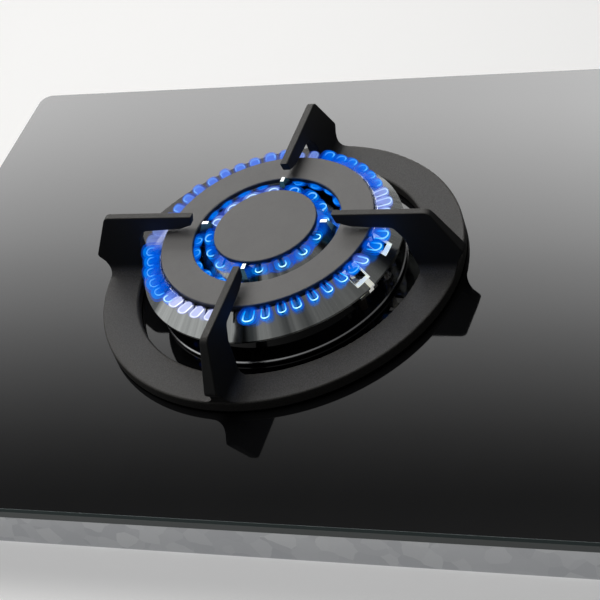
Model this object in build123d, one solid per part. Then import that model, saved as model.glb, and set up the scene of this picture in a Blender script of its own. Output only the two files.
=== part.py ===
from build123d import *
import math
import os

# Single-burner gas-on-glass cooktop, millimetres. +Z up, -Y is the front, where the knob is.
# Origin: middle of the tray's underside. Burner heights are counted from the glass top.

# --- glass plate ---
hob_width = 380
hob_length = 520
glass_thickness = 6
glass_corner_radius = 9
glass_edge_bevel = 1.2
glass_overhang = 17
spindle_hole_radius = 9

# --- tray under the glass ---
tray_height = 46
tray_wall = 1.0
tray_corner_radius = 10
tray_bend_radius = 2
rear_panel_return = 14
rear_panel_foot = 4
seal_gap = 3
seal_width = 10
seal_thickness = 3
vent_slot_x = 86.5
vent_slot_length = 34
vent_slot_width = 4
vent_slot_pitch = 9
vent_slot_count = 6
clamp_hole_radius = 2.1
clamp_inset_x = 23
clamp_inset_y = 43

# --- brackets that hold the tray to the glass ---
bracket_width = 24
bracket_leg = 16
bracket_height = 18
bracket_thickness = 1.5
bracket_spacing = 340
tray_screw_radius = 1.95
tray_screw_head_radius = 3.6
tray_screw_head_height = 1.8
tray_screw_end = 2.5

# --- caps: the ring cap's 130 mm across is the scale of the whole part ---
ring_cap_inner_radius = 45.5
ring_cap_width = 19.5
inner_cap_radius = 31.3
cap_thickness = 3
cap_edge_round = 0.6
cap_overhang = 1
cap_rib = 1.8
cap_rib_width = 3
cap_clearance = 0.7

# --- flame crown ---
crown_seat = 18
crown_floor = 3
channel_wall = 3
skirt_step = 1.5
skirt_top = 34
skirt_rim_radius = 79.9
skirt_rim = 23.1
skirt_lip = 1.2
skirt_thickness = 2.0
hub_bore = 24
hub_wall = 3
hub_top = 37
hub_skirt_radius = 42
hub_skirt_bottom = 28
hub_skirt_lip = 1
bridge_width = 10
bridge_ridge_width = 2.2
bridge_ridge_top = 42.5
bridge_ridge_inner = 36
bridge_ridge_outer = 40
venturi_radius = 7
venturi_bore = 5
venturi_bottom = 2
gas_way_width = 6
gas_way_height = 4
outer_port_count = 46
outer_port_start = -171
outer_port_height = 4
outer_port_width = 1.2
inward_port_count = 24
inward_port_start = 7.5
inward_port_height = 3
inward_port_width = 1.8
hub_port_count = 16
hub_port_start = 11.25
hub_port_height = 3.5
hub_port_width = 1.7
port_depth = 14
pocket_length = 9.5
pocket_width = 10
pocket_step = 0.3
pocket_floor_thickness = 2
pocket_corner = 1

# --- burner base, clamp plate and cup ---
burner_seal_thickness = 1.0
base_rim_cover = 4.5
base_rim_thickness = 2.0
base_wall_thickness = 4
spigot_wall = 8
spigot_clearance = 1
air_window_count = 6
air_window_width = 26
air_window_height = 8
clamp_plate_cover = 12.5
clamp_plate_thickness = 1.5
clamp_plate_bore = 42
burner_screw_radius = 2
burner_screw_head_radius = 3.8
burner_screw_head_height = 2.6
screw_clearance = 0.1
cup_screw_step = 3
cup_wall = 4
cup_flange = 3
cup_flange_width = 9
cup_floor = 10
cup_depth = 25
cup_boss_radius = 7
cup_boss_reach = 5
screw_boss_radius = 5
screw_boss_height = 8
gas_bore_radius = 2.5
gas_cross_y = 12
outer_injector_inset = 8.5
injector_hex = 8
injector_length = 10
injector_nose = 3
injector_nose_radius = 2
injector_jet_radius = 0.5

# --- electrode and thermocouple ---
probe_step = 1.7
electrode_angle = -116.5
thermocouple_angle = -95.5
insulator_radius = 2.6
insulator_bottom = -22
insulator_top = 21
insulator_collar = 1.6
electrode_wire_radius = 1.0
electrode_head_radius = 2.2
electrode_tail = 5
probe_tip = 24.6
probe_clearance = 0.5
glass_clearance = 0.7
thermocouple_radius = 1.9
thermocouple_nut_hex = 9
probe_fixing_height = 4
clip_thickness = 0.8
clip_length = 9
clip_turn = -70

# --- pan support ---
support_inner_radius = 89.5
support_ring_width = 22.6
support_lift = 1.0
support_top = 7.5
support_edge_round = 1.2
arm_count = 4
arm_top = 48.8
arm_tip_radius = 44.8
arm_tip_depth = 6.3
arm_beam_depth = 9
arm_root_depth = 10.5
arm_top_thickness = 4.6
arm_foot_thickness = 8.8
arm_foot_flare = 6.2
arm_edge_round = 0.7
arm_root_inset = 0.9
arm_bulge = 6.4
arm_bulge_height = 12.5
arm_shoulder_inset = 8.6
foot_radius = 5
foot_peg_radius = 2.5
foot_peg_height = 3

# --- tap and spindle ---
knob_from_front = 38
knob_to_burner = 230
tap_width = 24
tap_length = 28
tap_height = 30
tap_corner_radius = 2
tap_boss_radius = 5
tap_boss_length = 6
bonnet_thickness = 2
bonnet_screw_x = 9
bonnet_screw_y = 11
bonnet_screw_radius = 1.2
bonnet_screw_length = 4
bonnet_screw_head = 0.9
bonnet_screw_head_radius = 2.3
plug_height = 9
plug_top_radius = 7
plug_bottom_radius = 6.3
plug_from_base = 14
plug_slot_width = 3
plug_slot_depth = 4.5
plug_bore = 2
plug_cross_bore = 1.8
running_clearance = 0.05
gas_way_from_base = 6.5
outlet_from_base = 17
port_offset = 6
spindle_radius = 4
spindle_flat = 1.2
spindle_shoulder_radius = 6
spindle_shoulder_height = 1.5
spindle_key_width = 2.4
spindle_key_length = 7.2
spindle_rise = 14
push_travel = 3
motion_gap = 0.3
spring_wire = 0.6
spring_radius = 5.1
spring_turns = 3
spring_play = 0.02
disc_radius = 19
disc_thickness = 1.2
disc_collar_wall = 1.6
disc_collar_height = 1
disc_to_glass = 0.5

# --- knob, bezel and seal ---
knob_radius = 19
knob_height = 22
knob_wall = 2
knob_skirt_height = 7
knob_hub_radius = 7.5
knob_hollow = 5.5
knob_grip_radius = 14.6
knob_scallop_radius = 8.5
knob_scallop_offset = 22.5
knob_scallop_bottom = 8
pointer_width = 1.4
pointer_length = 9
pointer_depth = 0.6
clip_wall = 0.8
clip_height = 14
bezel_gap = 1.5
bezel_width = 4.5
bezel_thickness = 1.2
bezel_bevel = 0.4
seal_rise = 1.2
seal_lip = 2.5
seal_sink = 5.5

# --- gas safety valve, magnet and ignition switch ---
magnet_radius = 7
magnet_length = 20
magnet_nut_hex = 12
magnet_nut_length = 5
magnet_tail_radius = 3
magnet_tail_length = 6
valve_radius = 3.9
valve_thickness = 1.5
valve_travel = 2
valve_gap = 0.1
valve_seat_lip = 1.4
valve_way_clearance = 1.4
valve_stem_radius = 1.2
valve_stem_length = 3
valve_stem_depth = 9
switch_width = 9
switch_length = 20
switch_height = 13.1
switch_drop = 12
switch_tab_length = 4
switch_tab_thickness = 1
plunger_radius = 1.5
plunger_clearance = 0.1
plunger_length = 7
plunger_hole_depth = 8

# --- tap bracket ---
stand_thickness = 1.5
stand_inset = 1
stand_foot = 10
stand_screw_x = 17
stand_screw_y = 9
stand_screw_radius = 3.2
stand_screw_height = 1.6
stand_screw_round = 0.7

# --- gas inlet and tubes ---
inlet_from_side = 43
inlet_z = 22
inlet_thread_radius = 10.48
inlet_thread_length = 12
inlet_body_radius = 9
inlet_body_length = 26
inlet_bore = 6
inlet_socket = 7
inlet_hex = 24
inlet_flange = 4
locknut_hex = 26
locknut_length = 5
panel_hole_clearance = 0.2
tube_radius = 4
tube_wall = 1
tube_bend_radius = 14
tube_floor_gap = 4
socket_inset = 4
inlet_straight = 38
inlet_run_in = 102
inlet_turn_in = 52
inlet_turn_x = 60
inlet_tap_run = 34
inner_tap_run = 32
inner_burner_run = 32
outer_tap_run = 34
outer_side_run = 60
outer_burner_run = 26
nut_hex = 12
nut_length = 9

# --- electrics ---
generator_length = 62
generator_width = 40
generator_height = 25
generator_corner_radius = 3
generator_from_side = 55
generator_from_rear = 113
generator_ear_length = 9
generator_ear_width = 14
generator_ear_thickness = 3
generator_ear_overlap = 1
generator_screw_inset = 5.5
generator_stub_radius = 4
generator_stub_length = 8
generator_stub_inset = 12
terminal_length = 34
terminal_width = 22
terminal_height = 18
terminal_from_side = 45
terminal_from_rear = 38
terminal_hole_radius = 2.5
terminal_hole_pitch = 10
terminal_hole_depth = 5
terminal_hole_y = 4
terminal_bevel = 1
gland_from_side = 78
gland_z = 22
gland_bore = 3.6
gland_wall = 2.4
gland_reach = 9
gland_flange = 3
gland_flange_width = 2.5
gland_nut_length = 4
lead_radius = 1.3
lead_bend_radius = 5
lead_floor_z = 8
ignition_lead_points = ((-88, -48), (-104, 12))
ignition_lead_run = 32
probe_lead_drop = 18
probe_lead_x = (-40, -80)
probe_lead_y = (122, 72)
switch_lead_start = (15, 6, 4)
switch_lead_x = -110
switch_lead_y = (37, 162)
switch_lead_end_x = 17
switch_lead_rise = 6

# --- heights and places that follow from the sizes above ---
glass_bottom = tray_height
glass_top = tray_height + glass_thickness
tray_width = hob_width - 2 * glass_overhang
tray_length = hob_length - 2 * glass_overhang
rear = tray_length / 2
knob_y = knob_from_front - hob_length / 2
burner_y = knob_y + knob_to_burner
burner = Pos(0, burner_y, glass_top)
tap = Pos(0, knob_y, 0)
bracket_screw_z = glass_bottom - bracket_height / 2

ring_cap_outer_radius = ring_cap_inner_radius + ring_cap_width
channel_inner_radius = ring_cap_inner_radius + cap_overhang
channel_outer_radius = ring_cap_outer_radius
channel_outer_bore = channel_outer_radius - channel_wall
channel_inner_bore = channel_inner_radius + channel_wall
skirt_top_radius = ring_cap_outer_radius + skirt_step
hub_outer_radius = hub_bore + hub_wall
crown_floor_top = crown_seat + crown_floor
probe_circle = skirt_top_radius + probe_step
glass_hole_radius = probe_circle + insulator_radius + glass_clearance
base_rim_radius = glass_hole_radius + base_rim_cover
base_wall_radius = channel_outer_bore
rim_bottom = burner_seal_thickness
rim_top = rim_bottom + base_rim_thickness
outer_injector_x = channel_inner_radius - outer_injector_inset
spigot_inner_radius = outer_injector_x + venturi_radius + spigot_clearance
spigot_outer_radius = spigot_inner_radius + spigot_wall
burner_screw_circle = (spigot_inner_radius + spigot_outer_radius) / 2
clamp_plate_radius = glass_hole_radius + clamp_plate_cover
support_outer_radius = support_inner_radius + support_ring_width
plate_top = -glass_thickness - burner_seal_thickness
plate_bottom = plate_top - clamp_plate_thickness
cup_radius = burner_screw_circle - cup_screw_step
cup_top = plate_bottom
cup_bottom = cup_top - cup_depth
cup_floor_top = cup_bottom + cup_floor
cup_face = cup_radius + cup_boss_reach
way_z = cup_bottom + cup_floor / 2

disc_top = glass_bottom - disc_to_glass - disc_collar_height
disc_bottom = disc_top - disc_thickness
tap_top = disc_bottom - motion_gap - push_travel - bonnet_thickness
tap_bottom = tap_top - tap_height
plug_bottom = tap_bottom + plug_from_base
plug_top = plug_bottom + plug_height
gas_way_z = tap_bottom + gas_way_from_base
outlet_z = tap_bottom + outlet_from_base
shoulder_top = tap_top - motion_gap
knob_bottom = glass_top + seal_rise + push_travel + motion_gap
knob_top = knob_bottom + knob_height
switch_x = -tap_width / 2 - switch_width / 2
switch_bottom = tap_top - switch_drop
switch_top = switch_bottom + switch_height
plunger_top = disc_bottom - motion_gap

inlet_x = tray_width / 2 - inlet_from_side
gland_x = gland_from_side - tray_width / 2
gland_radius = gland_bore + gland_wall
generator_x = generator_from_side - tray_width / 2
generator_y = rear - generator_from_rear
terminal_x = terminal_from_side - tray_width / 2
terminal_y = rear - terminal_from_rear

below = (Align.CENTER, Align.CENTER, Align.MAX)
above = (Align.CENTER, Align.CENTER, Align.MIN)
outward = (Align.MIN, Align.CENTER, Align.MIN)
through = 1000


def turned(*points):
    """Solid of revolution from an outline of (radius, height) points."""
    return revolve(Plane.XZ * make_face(Polyline(*points, close=True)), Axis.Z, 360)


def ring(outer, inner, bottom, top):
    return turned((inner, bottom), (outer, bottom), (outer, top), (inner, top))


def block(x0, x1, y0, y1, z0, z1):
    size = Box(x1 - x0, y1 - y0, z1 - z0, align=(Align.MIN,) * 3)
    return Pos(x0, y0, z0) * size


def rod(radius, start, end):
    """Round bar between two points."""
    start, end = Vector(*start), Vector(*end)
    span = end - start
    bar = extrude(Circle(radius), span.length)
    return Plane(origin=start, z_dir=span) * bar


def upright(radius, bottom, top):
    return rod(radius, (0, 0, bottom), (0, 0, top))


def hexagon(across, start, end):
    """Hexagonal bar between two points."""
    start, end = Vector(*start), Vector(*end)
    span = end - start
    bar = extrude(RegularPolygon(across / 2, 6, major_radius=False), span.length)
    return Plane(origin=start, z_dir=span) * bar


def around(count, shape, start=0):
    """Copies of a shape turned evenly about the Z axis."""
    return [Rot(0, 0, start + 360 / count * index) * shape for index in range(count)]


def group(shapes, place=Pos(0, 0, 0)):
    """Separate solids that share one node."""
    return Compound(children=[place * solid for shape in shapes for solid in shape.solids()])


def rounded(points, corners):
    """Face from an outline, with some of its corners rounded: corners maps index to radius."""
    face = make_face(Polyline(*points, close=True))
    for index, radius in corners.items():
        corner = face.vertices().sort_by_distance(points[index])[0]
        face = fillet(corner, radius)
    return face


def routed(radius, points, bend):
    """Bar that follows straight runs joined by tangent bends."""
    path = FilletPolyline(*points, radius=bend)
    start = Plane(origin=path @ 0, z_dir=path % 0)
    return sweep(start * Circle(radius), path=path)


def pipe(points):
    return routed(tube_radius, points, tube_bend_radius) - routed(tube_radius - tube_wall, points, tube_bend_radius)


def pan_screw(radius, length, head_radius, head_height):
    """Cross-recess screw, head on +Z, its seat at z = 0."""
    screw = Cylinder(head_radius, head_height, align=above)
    screw = fillet(screw.edges().group_by(Axis.Z)[-1], head_height * 0.45)
    recess_length, recess_width, recess_depth = head_radius * 1.1, head_radius * 0.3, head_height * 0.7
    for angle in (0, 90):
        slot = Box(recess_length, recess_width, recess_depth, align=below)
        screw -= Pos(0, 0, head_height) * Rot(0, 0, angle) * slot
    return screw + Cylinder(radius, length, align=below)


def button_screw():
    """Low round head that stands on a sheet."""
    screw = Cylinder(stand_screw_radius, stand_screw_height, align=above)
    return fillet(screw.edges().group_by(Axis.Z)[-1], stand_screw_round)


def at_angle(radius, angle, z=0):
    turn = math.radians(angle)
    return Pos(radius * math.cos(turn), radius * math.sin(turn), z)


# ---------------------------------------------------------------- glass and tray

def make_glass():
    plate = extrude(RectangleRounded(hob_width, hob_length, glass_corner_radius), glass_thickness)
    plate = chamfer(plate.edges().group_by(Axis.Z)[-1], glass_edge_bevel)
    plate = Pos(0, 0, glass_bottom) * plate
    plate -= Pos(0, burner_y, 0) * upright(glass_hole_radius, 0, through)
    return plate - tap * upright(spindle_hole_radius, 0, through)


def make_worktop_seal():
    inner_x = tray_width + 2 * seal_gap
    inner_y = tray_length + 2 * seal_gap
    outside = RectangleRounded(inner_x + 2 * seal_width, inner_y + 2 * seal_width, tray_corner_radius + seal_width)
    inside = RectangleRounded(inner_x, inner_y, tray_corner_radius + seal_gap)
    return Pos(0, 0, glass_bottom - seal_thickness) * extrude(outside - inside, seal_thickness)


def vent_slots():
    slot = extrude(SlotOverall(vent_slot_length, vent_slot_width), tray_wall, both=True)
    middle = (vent_slot_count - 1) / 2
    return [Pos(side * vent_slot_x, burner_y + (index - middle) * vent_slot_pitch, 0) * slot
            for side in (-1, 1) for index in range(vent_slot_count)]


def clamp_places():
    x, y = tray_width / 2 - clamp_inset_x, tray_length / 2 - clamp_inset_y
    return [(side * x, half * y) for side in (-1, 1) for half in (-1, 1)]


def tray_shell():
    outside = extrude(RectangleRounded(tray_width, tray_length, tray_corner_radius), tray_height)
    inside = RectangleRounded(tray_width - 2 * tray_wall, tray_length - 2 * tray_wall, tray_corner_radius - tray_wall)
    shell = fillet(outside.edges().group_by(Axis.Z)[0], tray_bend_radius + tray_wall)
    hollow = extrude(inside, tray_height)
    hollow = fillet(hollow.edges().group_by(Axis.Z)[0], tray_bend_radius)
    return shell - Pos(0, 0, tray_wall) * hollow


def rear_zone():
    """Space of the separate rear panel, which carries the gas inlet and the cable gland."""
    return block(-tray_width, tray_width, rear - rear_panel_return, 2 * rear, rear_panel_foot, 2 * tray_height)


def make_tray():
    tray = tray_shell() - rear_zone() - vent_slots()
    for x, y in clamp_places():
        tray -= Pos(x, y, 0) * upright(clamp_hole_radius, -tray_wall, 2 * tray_wall)
    hole = rod(tray_screw_radius, (-bracket_leg, 0, 0), (bracket_leg, 0, 0))
    return tray - [place * hole for place in bracket_places()]


def make_rear_panel():
    panel = tray_shell() & rear_zone()
    inlet_hole = rod(inlet_thread_radius + panel_hole_clearance, (inlet_x, 0, inlet_z), (inlet_x, 2 * rear, inlet_z))
    gland_hole = rod(gland_radius + panel_hole_clearance, (gland_x, 0, gland_z), (gland_x, 2 * rear, gland_z))
    return panel - inlet_hole - gland_hole


# ---------------------------------------------------------------- brackets that hold the tray to the glass

def bracket_places():
    """Inner wall faces where the brackets sit, +X outwards, at the height of their screws."""
    x, y = tray_width / 2 - tray_wall, bracket_spacing / 2
    return [Pos(side * x, half * y, bracket_screw_z) * Rot(0, 0, 90 - 90 * side) for side in (-1, 1) for half in (-1, 1)]


def make_tray_brackets():
    half_width, half_height = bracket_width / 2, bracket_height / 2
    leg = block(-bracket_thickness, 0, -half_width, half_width, -half_height, half_height)
    shelf = block(-bracket_leg, 0, -half_width, half_width, half_height - bracket_thickness, half_height)
    bracket = leg + shelf - rod(tray_screw_radius, (-bracket_leg, 0, 0), (bracket_leg, 0, 0))
    return group([place * bracket for place in bracket_places()])


def make_tray_screws():
    length = tray_wall + bracket_thickness + tray_screw_end
    screw = Rot(0, 90, 0) * pan_screw(tray_screw_radius, length, tray_screw_head_radius, tray_screw_head_height)
    return group([place * Pos(tray_wall, 0, 0) * screw for place in bracket_places()])


# ---------------------------------------------------------------- burner, under the caps

def probe_angles():
    return [electrode_angle, thermocouple_angle]


def burner_screw_holes():
    hole = Pos(burner_screw_circle, 0, 0) * upright(burner_screw_radius + screw_clearance, cup_bottom, crown_seat)
    return around(4, hole, start=45)


def make_burner_seal():
    return burner * ring(base_rim_radius - 1, glass_hole_radius, 0, burner_seal_thickness)


def make_lower_seal():
    return burner * ring(clamp_plate_radius - 1, glass_hole_radius + 1, plate_top, -glass_thickness)


def make_burner_base():
    outer, inner = base_wall_radius, base_wall_radius - base_wall_thickness
    edge = 0.8
    body = turned((spigot_inner_radius, plate_top), (spigot_outer_radius, plate_top),
                  (spigot_outer_radius, rim_bottom), (base_rim_radius, rim_bottom),
                  (base_rim_radius, rim_top - edge), (base_rim_radius - edge, rim_top), (outer + 3, rim_top + 0.6),
                  (outer + edge, rim_top + 4), (outer, crown_seat), (inner, crown_seat), (inner, rim_top),
                  (spigot_inner_radius, rim_top))
    window = Box(6 * base_wall_thickness, air_window_width, air_window_height)
    window = fillet(window.edges().filter_by(Axis.X), 3)
    body -= around(air_window_count, Pos(outer, 0, (rim_top + crown_seat) / 2 + 1) * window, start=30)
    for angle in probe_angles():
        place = at_angle(probe_circle, angle)
        body -= place * upright(insulator_radius + screw_clearance, plate_top, crown_seat)
        body -= place * upright(insulator_radius + insulator_collar + 0.2, rim_top, crown_seat + 1)
    return burner * (body - burner_screw_holes())


def make_clamp_plate():
    plate = ring(clamp_plate_radius, clamp_plate_bore, plate_bottom, plate_top)
    for angle in probe_angles():
        hole = upright(insulator_radius + probe_clearance, plate_bottom - 1, plate_top + 1)
        plate -= at_angle(probe_circle, angle) * hole
    return burner * (plate - burner_screw_holes())


def make_burner_cup():
    inner_radius = cup_radius - cup_wall
    flange_radius = cup_radius + cup_flange_width
    cup = turned((0, cup_bottom), (cup_radius, cup_bottom), (cup_radius, cup_top - cup_flange),
                 (flange_radius, cup_top - cup_flange), (flange_radius, cup_top), (inner_radius, cup_top),
                 (inner_radius, cup_floor_top), (0, cup_floor_top))
    inner_boss = rod(cup_boss_radius, (0, -inner_radius, way_z), (0, -cup_face, way_z))
    outer_boss = rod(cup_boss_radius, (outer_injector_x, -cup_radius / 2, way_z), (outer_injector_x, -cup_face, way_z))
    keep = Pos(0, 0, cup_bottom) * Box(4 * cup_radius, 4 * cup_radius, cup_floor + 2, align=above)
    cup += (inner_boss & keep) + (outer_boss & keep)
    screw_boss = Pos(burner_screw_circle, 0, 0) * upright(screw_boss_radius, cup_top - screw_boss_height, cup_top)
    cup += around(4, screw_boss, start=45)
    cross_left, cross_right = (-outer_injector_x, gas_cross_y, way_z), (outer_injector_x, gas_cross_y, way_z)
    runs = [((0, -cup_face - 1, way_z), (0, 0, way_z)), ((outer_injector_x, -cup_face - 1, way_z), cross_right),
            (cross_left, cross_right), ((-outer_injector_x, 0, way_z), cross_left)]
    runs += [((x, 0, way_z), (x, 0, cup_floor_top + 1)) for x in (-outer_injector_x, 0, outer_injector_x)]
    for start, end in runs:
        cup -= rod(gas_bore_radius, start, end)
    thread = Pos(burner_screw_circle, 0, 0) * upright(burner_screw_radius, cup_top - screw_boss_height + 1, cup_top)
    return burner * (cup - around(4, thread, start=45))


def make_burner_screws():
    length = rim_top - cup_top + screw_boss_height - 2
    screw = pan_screw(burner_screw_radius, length, burner_screw_head_radius, burner_screw_head_height)
    return group(around(4, Pos(burner_screw_circle, 0, rim_top) * screw, start=45), burner)


def injector():
    thread_length = 3
    nose_bottom = cup_floor_top + injector_length - injector_nose
    nose_top = cup_floor_top + injector_length
    body = hexagon(injector_hex, (0, 0, cup_floor_top), (0, 0, nose_bottom))
    nose = turned((0, nose_bottom), (injector_nose, nose_bottom), (injector_nose_radius, nose_top), (0, nose_top))
    thread = upright(gas_bore_radius, cup_floor_top - thread_length, cup_floor_top)
    return body + nose + thread - upright(injector_jet_radius, cup_floor_top - thread_length - 1, nose_top + 1)


def make_inner_injector():
    return burner * injector()


def make_outer_injectors():
    return group([Pos(side * outer_injector_x, 0, 0) * injector() for side in (-1, 1)], burner)


# ---------------------------------------------------------------- flame crown and caps

def crown_channel():
    """Gas channel under the ring cap, with the sloping skirt round it."""
    slope = (skirt_rim_radius - skirt_top_radius) / (skirt_top - skirt_rim)
    under_top = skirt_top - 2 * skirt_thickness
    under_radius = skirt_top_radius + (skirt_top - under_top) * slope - skirt_thickness * 1.6
    lip_bottom = skirt_rim - skirt_lip
    return turned((channel_inner_radius, crown_seat), (channel_outer_radius, crown_seat),
                  (channel_outer_radius, under_top), (under_radius, under_top),
                  (skirt_rim_radius - skirt_thickness, lip_bottom), (skirt_rim_radius, lip_bottom),
                  (skirt_rim_radius, skirt_rim), (skirt_top_radius, skirt_top), (channel_outer_bore, skirt_top),
                  (channel_outer_bore, crown_floor_top), (channel_inner_bore, crown_floor_top),
                  (channel_inner_bore, skirt_top), (channel_inner_radius, skirt_top))


def crown_hub():
    """Round box of the inner flame ring, with its own small skirt."""
    lip_bottom = hub_skirt_bottom - hub_skirt_lip
    return turned((0, crown_seat), (hub_outer_radius, crown_seat), (hub_outer_radius, hub_skirt_bottom + 3),
                  (hub_skirt_radius - 1.5, lip_bottom), (hub_skirt_radius, lip_bottom),
                  (hub_skirt_radius, hub_skirt_bottom), (inner_cap_radius - 0.1, hub_top), (hub_bore, hub_top),
                  (hub_bore, crown_floor_top), (0, crown_floor_top))


def crown_bridge():
    """Hollow arm from hub to channel with the faceted ridge that stands between the caps."""
    start, end = hub_bore + 1, channel_inner_radius + 2
    foot_start, foot_end = hub_outer_radius + 2, channel_inner_radius
    box = block(start, end, -bridge_width / 2, bridge_width / 2, crown_seat, hub_skirt_bottom)
    foot = Plane.XY.offset(hub_skirt_bottom - 0.5) * Pos((foot_start + foot_end) / 2, 0) * Rectangle(
        foot_end - foot_start, bridge_width)
    ridge = Plane.XY.offset(bridge_ridge_top) * Pos((bridge_ridge_inner + bridge_ridge_outer) / 2, 0) * Rectangle(
        bridge_ridge_outer - bridge_ridge_inner, bridge_ridge_width)
    return box + loft([foot, ridge])


def radial_slots(count, radius, width, height, top, start):
    """Flame slots, open at the top, cut outwards from a radius."""
    slot = Pos(radius, 0, top - height) * Box(port_depth, width, height + 1, align=outward)
    return around(count, slot, start=start)


def gas_ways():
    """Passages from the two outer venturis into the channel."""
    way = block(outer_injector_x - venturi_bore, channel_inner_bore + 1, -gas_way_width / 2, gas_way_width / 2,
                crown_floor_top, crown_floor_top + gas_way_height)
    return around(2, way)


def pocket(angle):
    """Cut in the skirt that lets the tip of the electrode or thermocouple show."""
    cut = Pos(skirt_top_radius + pocket_step, 0, 0) * Box(pocket_length, pocket_width, through,
                                                          align=(Align.MIN, Align.CENTER, Align.CENTER))
    return Rot(0, 0, angle) * fillet(cut.edges().filter_by(Axis.Z), pocket_corner)


def pocket_floor(angle):
    start, end = channel_outer_bore + 1, skirt_top_radius + pocket_length + 2
    shelf = Pos(start, 0, crown_seat) * Box(end - start, pocket_width + 4, pocket_floor_thickness, align=outward)
    return Rot(0, 0, angle) * shelf


def make_flame_crown():
    crown = crown_channel() - gas_ways()
    crown -= radial_slots(outer_port_count, channel_outer_bore - 2, outer_port_width, outer_port_height, skirt_top,
                          outer_port_start)
    crown -= radial_slots(inward_port_count, channel_inner_bore + 1 - port_depth, inward_port_width,
                          inward_port_height, skirt_top, inward_port_start)
    for angle in probe_angles():
        crown -= pocket(angle)
        crown += pocket_floor(angle)
        crown -= at_angle(probe_circle, angle) * upright(insulator_radius + probe_clearance, 0, skirt_top)
    return burner * crown


def make_flame_hub():
    hub = crown_hub() + upright(venturi_radius + 3, crown_seat, crown_seat + 4)
    hub += upright(venturi_radius, venturi_bottom, crown_seat)
    hub -= upright(venturi_bore, 0, through)
    return burner * (hub - radial_slots(hub_port_count, hub_bore - 1, hub_port_width, hub_port_height, hub_top,
                                        hub_port_start))


def make_crown_bridges():
    arms = around(4, crown_bridge())
    for index, side in ((0, 1), (2, -1)):
        place = Pos(side * outer_injector_x, 0, 0)
        arms[index] += place * upright(venturi_radius, venturi_bottom, crown_seat + 1)
        arms[index] -= place * upright(venturi_bore, 0, crown_floor_top + gas_way_height)
    cut = crown_channel() + crown_hub()
    return group([arm - cut - gas_ways() for arm in arms], burner)


def make_ring_cap():
    rib_inner = channel_inner_bore + cap_clearance
    rib_outer = channel_outer_bore - cap_clearance
    cap = ring(ring_cap_outer_radius, ring_cap_inner_radius, skirt_top, skirt_top + cap_thickness)
    cap = fillet(cap.edges().group_by(Axis.Z)[-1], cap_edge_round)
    return burner * (cap + ring(rib_outer, rib_inner, skirt_top - cap_rib, skirt_top + cap_thickness / 2))


def make_inner_cap():
    rib_outer = hub_bore - cap_clearance
    cap = ring(inner_cap_radius, 0, hub_top, hub_top + cap_thickness)
    cap = fillet(cap.edges().group_by(Axis.Z)[-1], cap_edge_round)
    return burner * (cap + ring(rib_outer, rib_outer - cap_rib_width, hub_top - cap_rib, hub_top + cap_thickness / 2))


# ---------------------------------------------------------------- electrode and thermocouple

def make_electrode_insulator():
    groove_bottom = insulator_bottom + 2
    body = upright(insulator_radius, insulator_bottom, insulator_top)
    body += upright(insulator_radius + insulator_collar, plate_bottom - probe_fixing_height,
                    plate_bottom - clip_thickness)
    body -= ring(insulator_radius + 1, insulator_radius - 0.6, groove_bottom, groove_bottom + 1)
    return burner * at_angle(probe_circle, electrode_angle) * (body - upright(electrode_wire_radius, -through, through))


def make_ignition_electrode():
    head_bottom = insulator_top + 0.2
    wire = upright(electrode_wire_radius, insulator_bottom - electrode_tail, head_bottom + 1)
    head = turned((0, head_bottom), (electrode_head_radius, head_bottom), (electrode_head_radius, probe_tip - 1),
                  (electrode_head_radius - 1, probe_tip), (0, probe_tip))
    return burner * at_angle(probe_circle, electrode_angle) * (wire + head)


def make_electrode_clip():
    half_width = insulator_radius + 0.4
    clip = ring(insulator_radius + 3.4, insulator_radius, plate_bottom - clip_thickness, plate_bottom)
    clip += block(insulator_radius + 1, insulator_radius + clip_length, -half_width, half_width,
                  plate_bottom - clip_thickness, plate_bottom)
    return burner * at_angle(probe_circle, electrode_angle) * Rot(0, 0, clip_turn) * clip


def make_thermocouple_probe():
    ball_z = probe_tip - thermocouple_radius
    probe = upright(thermocouple_radius, insulator_bottom + 8, ball_z) + Pos(0, 0, ball_z) * Sphere(thermocouple_radius)
    probe += upright(insulator_radius + 1.2, rim_top, rim_top + 2)
    probe += upright(insulator_radius, plate_bottom - probe_fixing_height, rim_top + 1)
    return burner * at_angle(probe_circle, thermocouple_angle) * probe


def make_thermocouple_nut():
    nut = hexagon(thermocouple_nut_hex, (0, 0, plate_bottom - probe_fixing_height), (0, 0, plate_bottom))
    nut -= upright(insulator_radius, plate_bottom - probe_fixing_height - 1, plate_bottom + 1)
    return burner * at_angle(probe_circle, thermocouple_angle) * nut


# ---------------------------------------------------------------- pan support

def arm_side():
    """Side view of one arm as (radius, height), from the tip over the top to the foot and back underneath."""
    root_outer = support_outer_radius - arm_root_inset
    root_inner = support_inner_radius + arm_root_inset
    sunk = support_top - 3.5
    points = [(arm_tip_radius, arm_top), (support_outer_radius - arm_shoulder_inset, arm_top),
              (support_outer_radius + arm_bulge, support_top + arm_bulge_height),
              (support_outer_radius + 1.7, support_top + 6.9), (root_outer, support_top), (root_outer, sunk),
              (root_inner, sunk), (root_inner, support_top), (support_inner_radius - 2.5, support_top + 11.5),
              (support_inner_radius - 4.2, arm_top - 18.8), (support_inner_radius - 9.5, arm_top - arm_root_depth),
              (arm_tip_radius + 10.2, arm_top - arm_beam_depth), (arm_tip_radius + 1.7, arm_top - arm_tip_depth)]
    return rounded(points, {1: 5, 2: 2.2, 9: 3, 10: 4, 12: 1})


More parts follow.
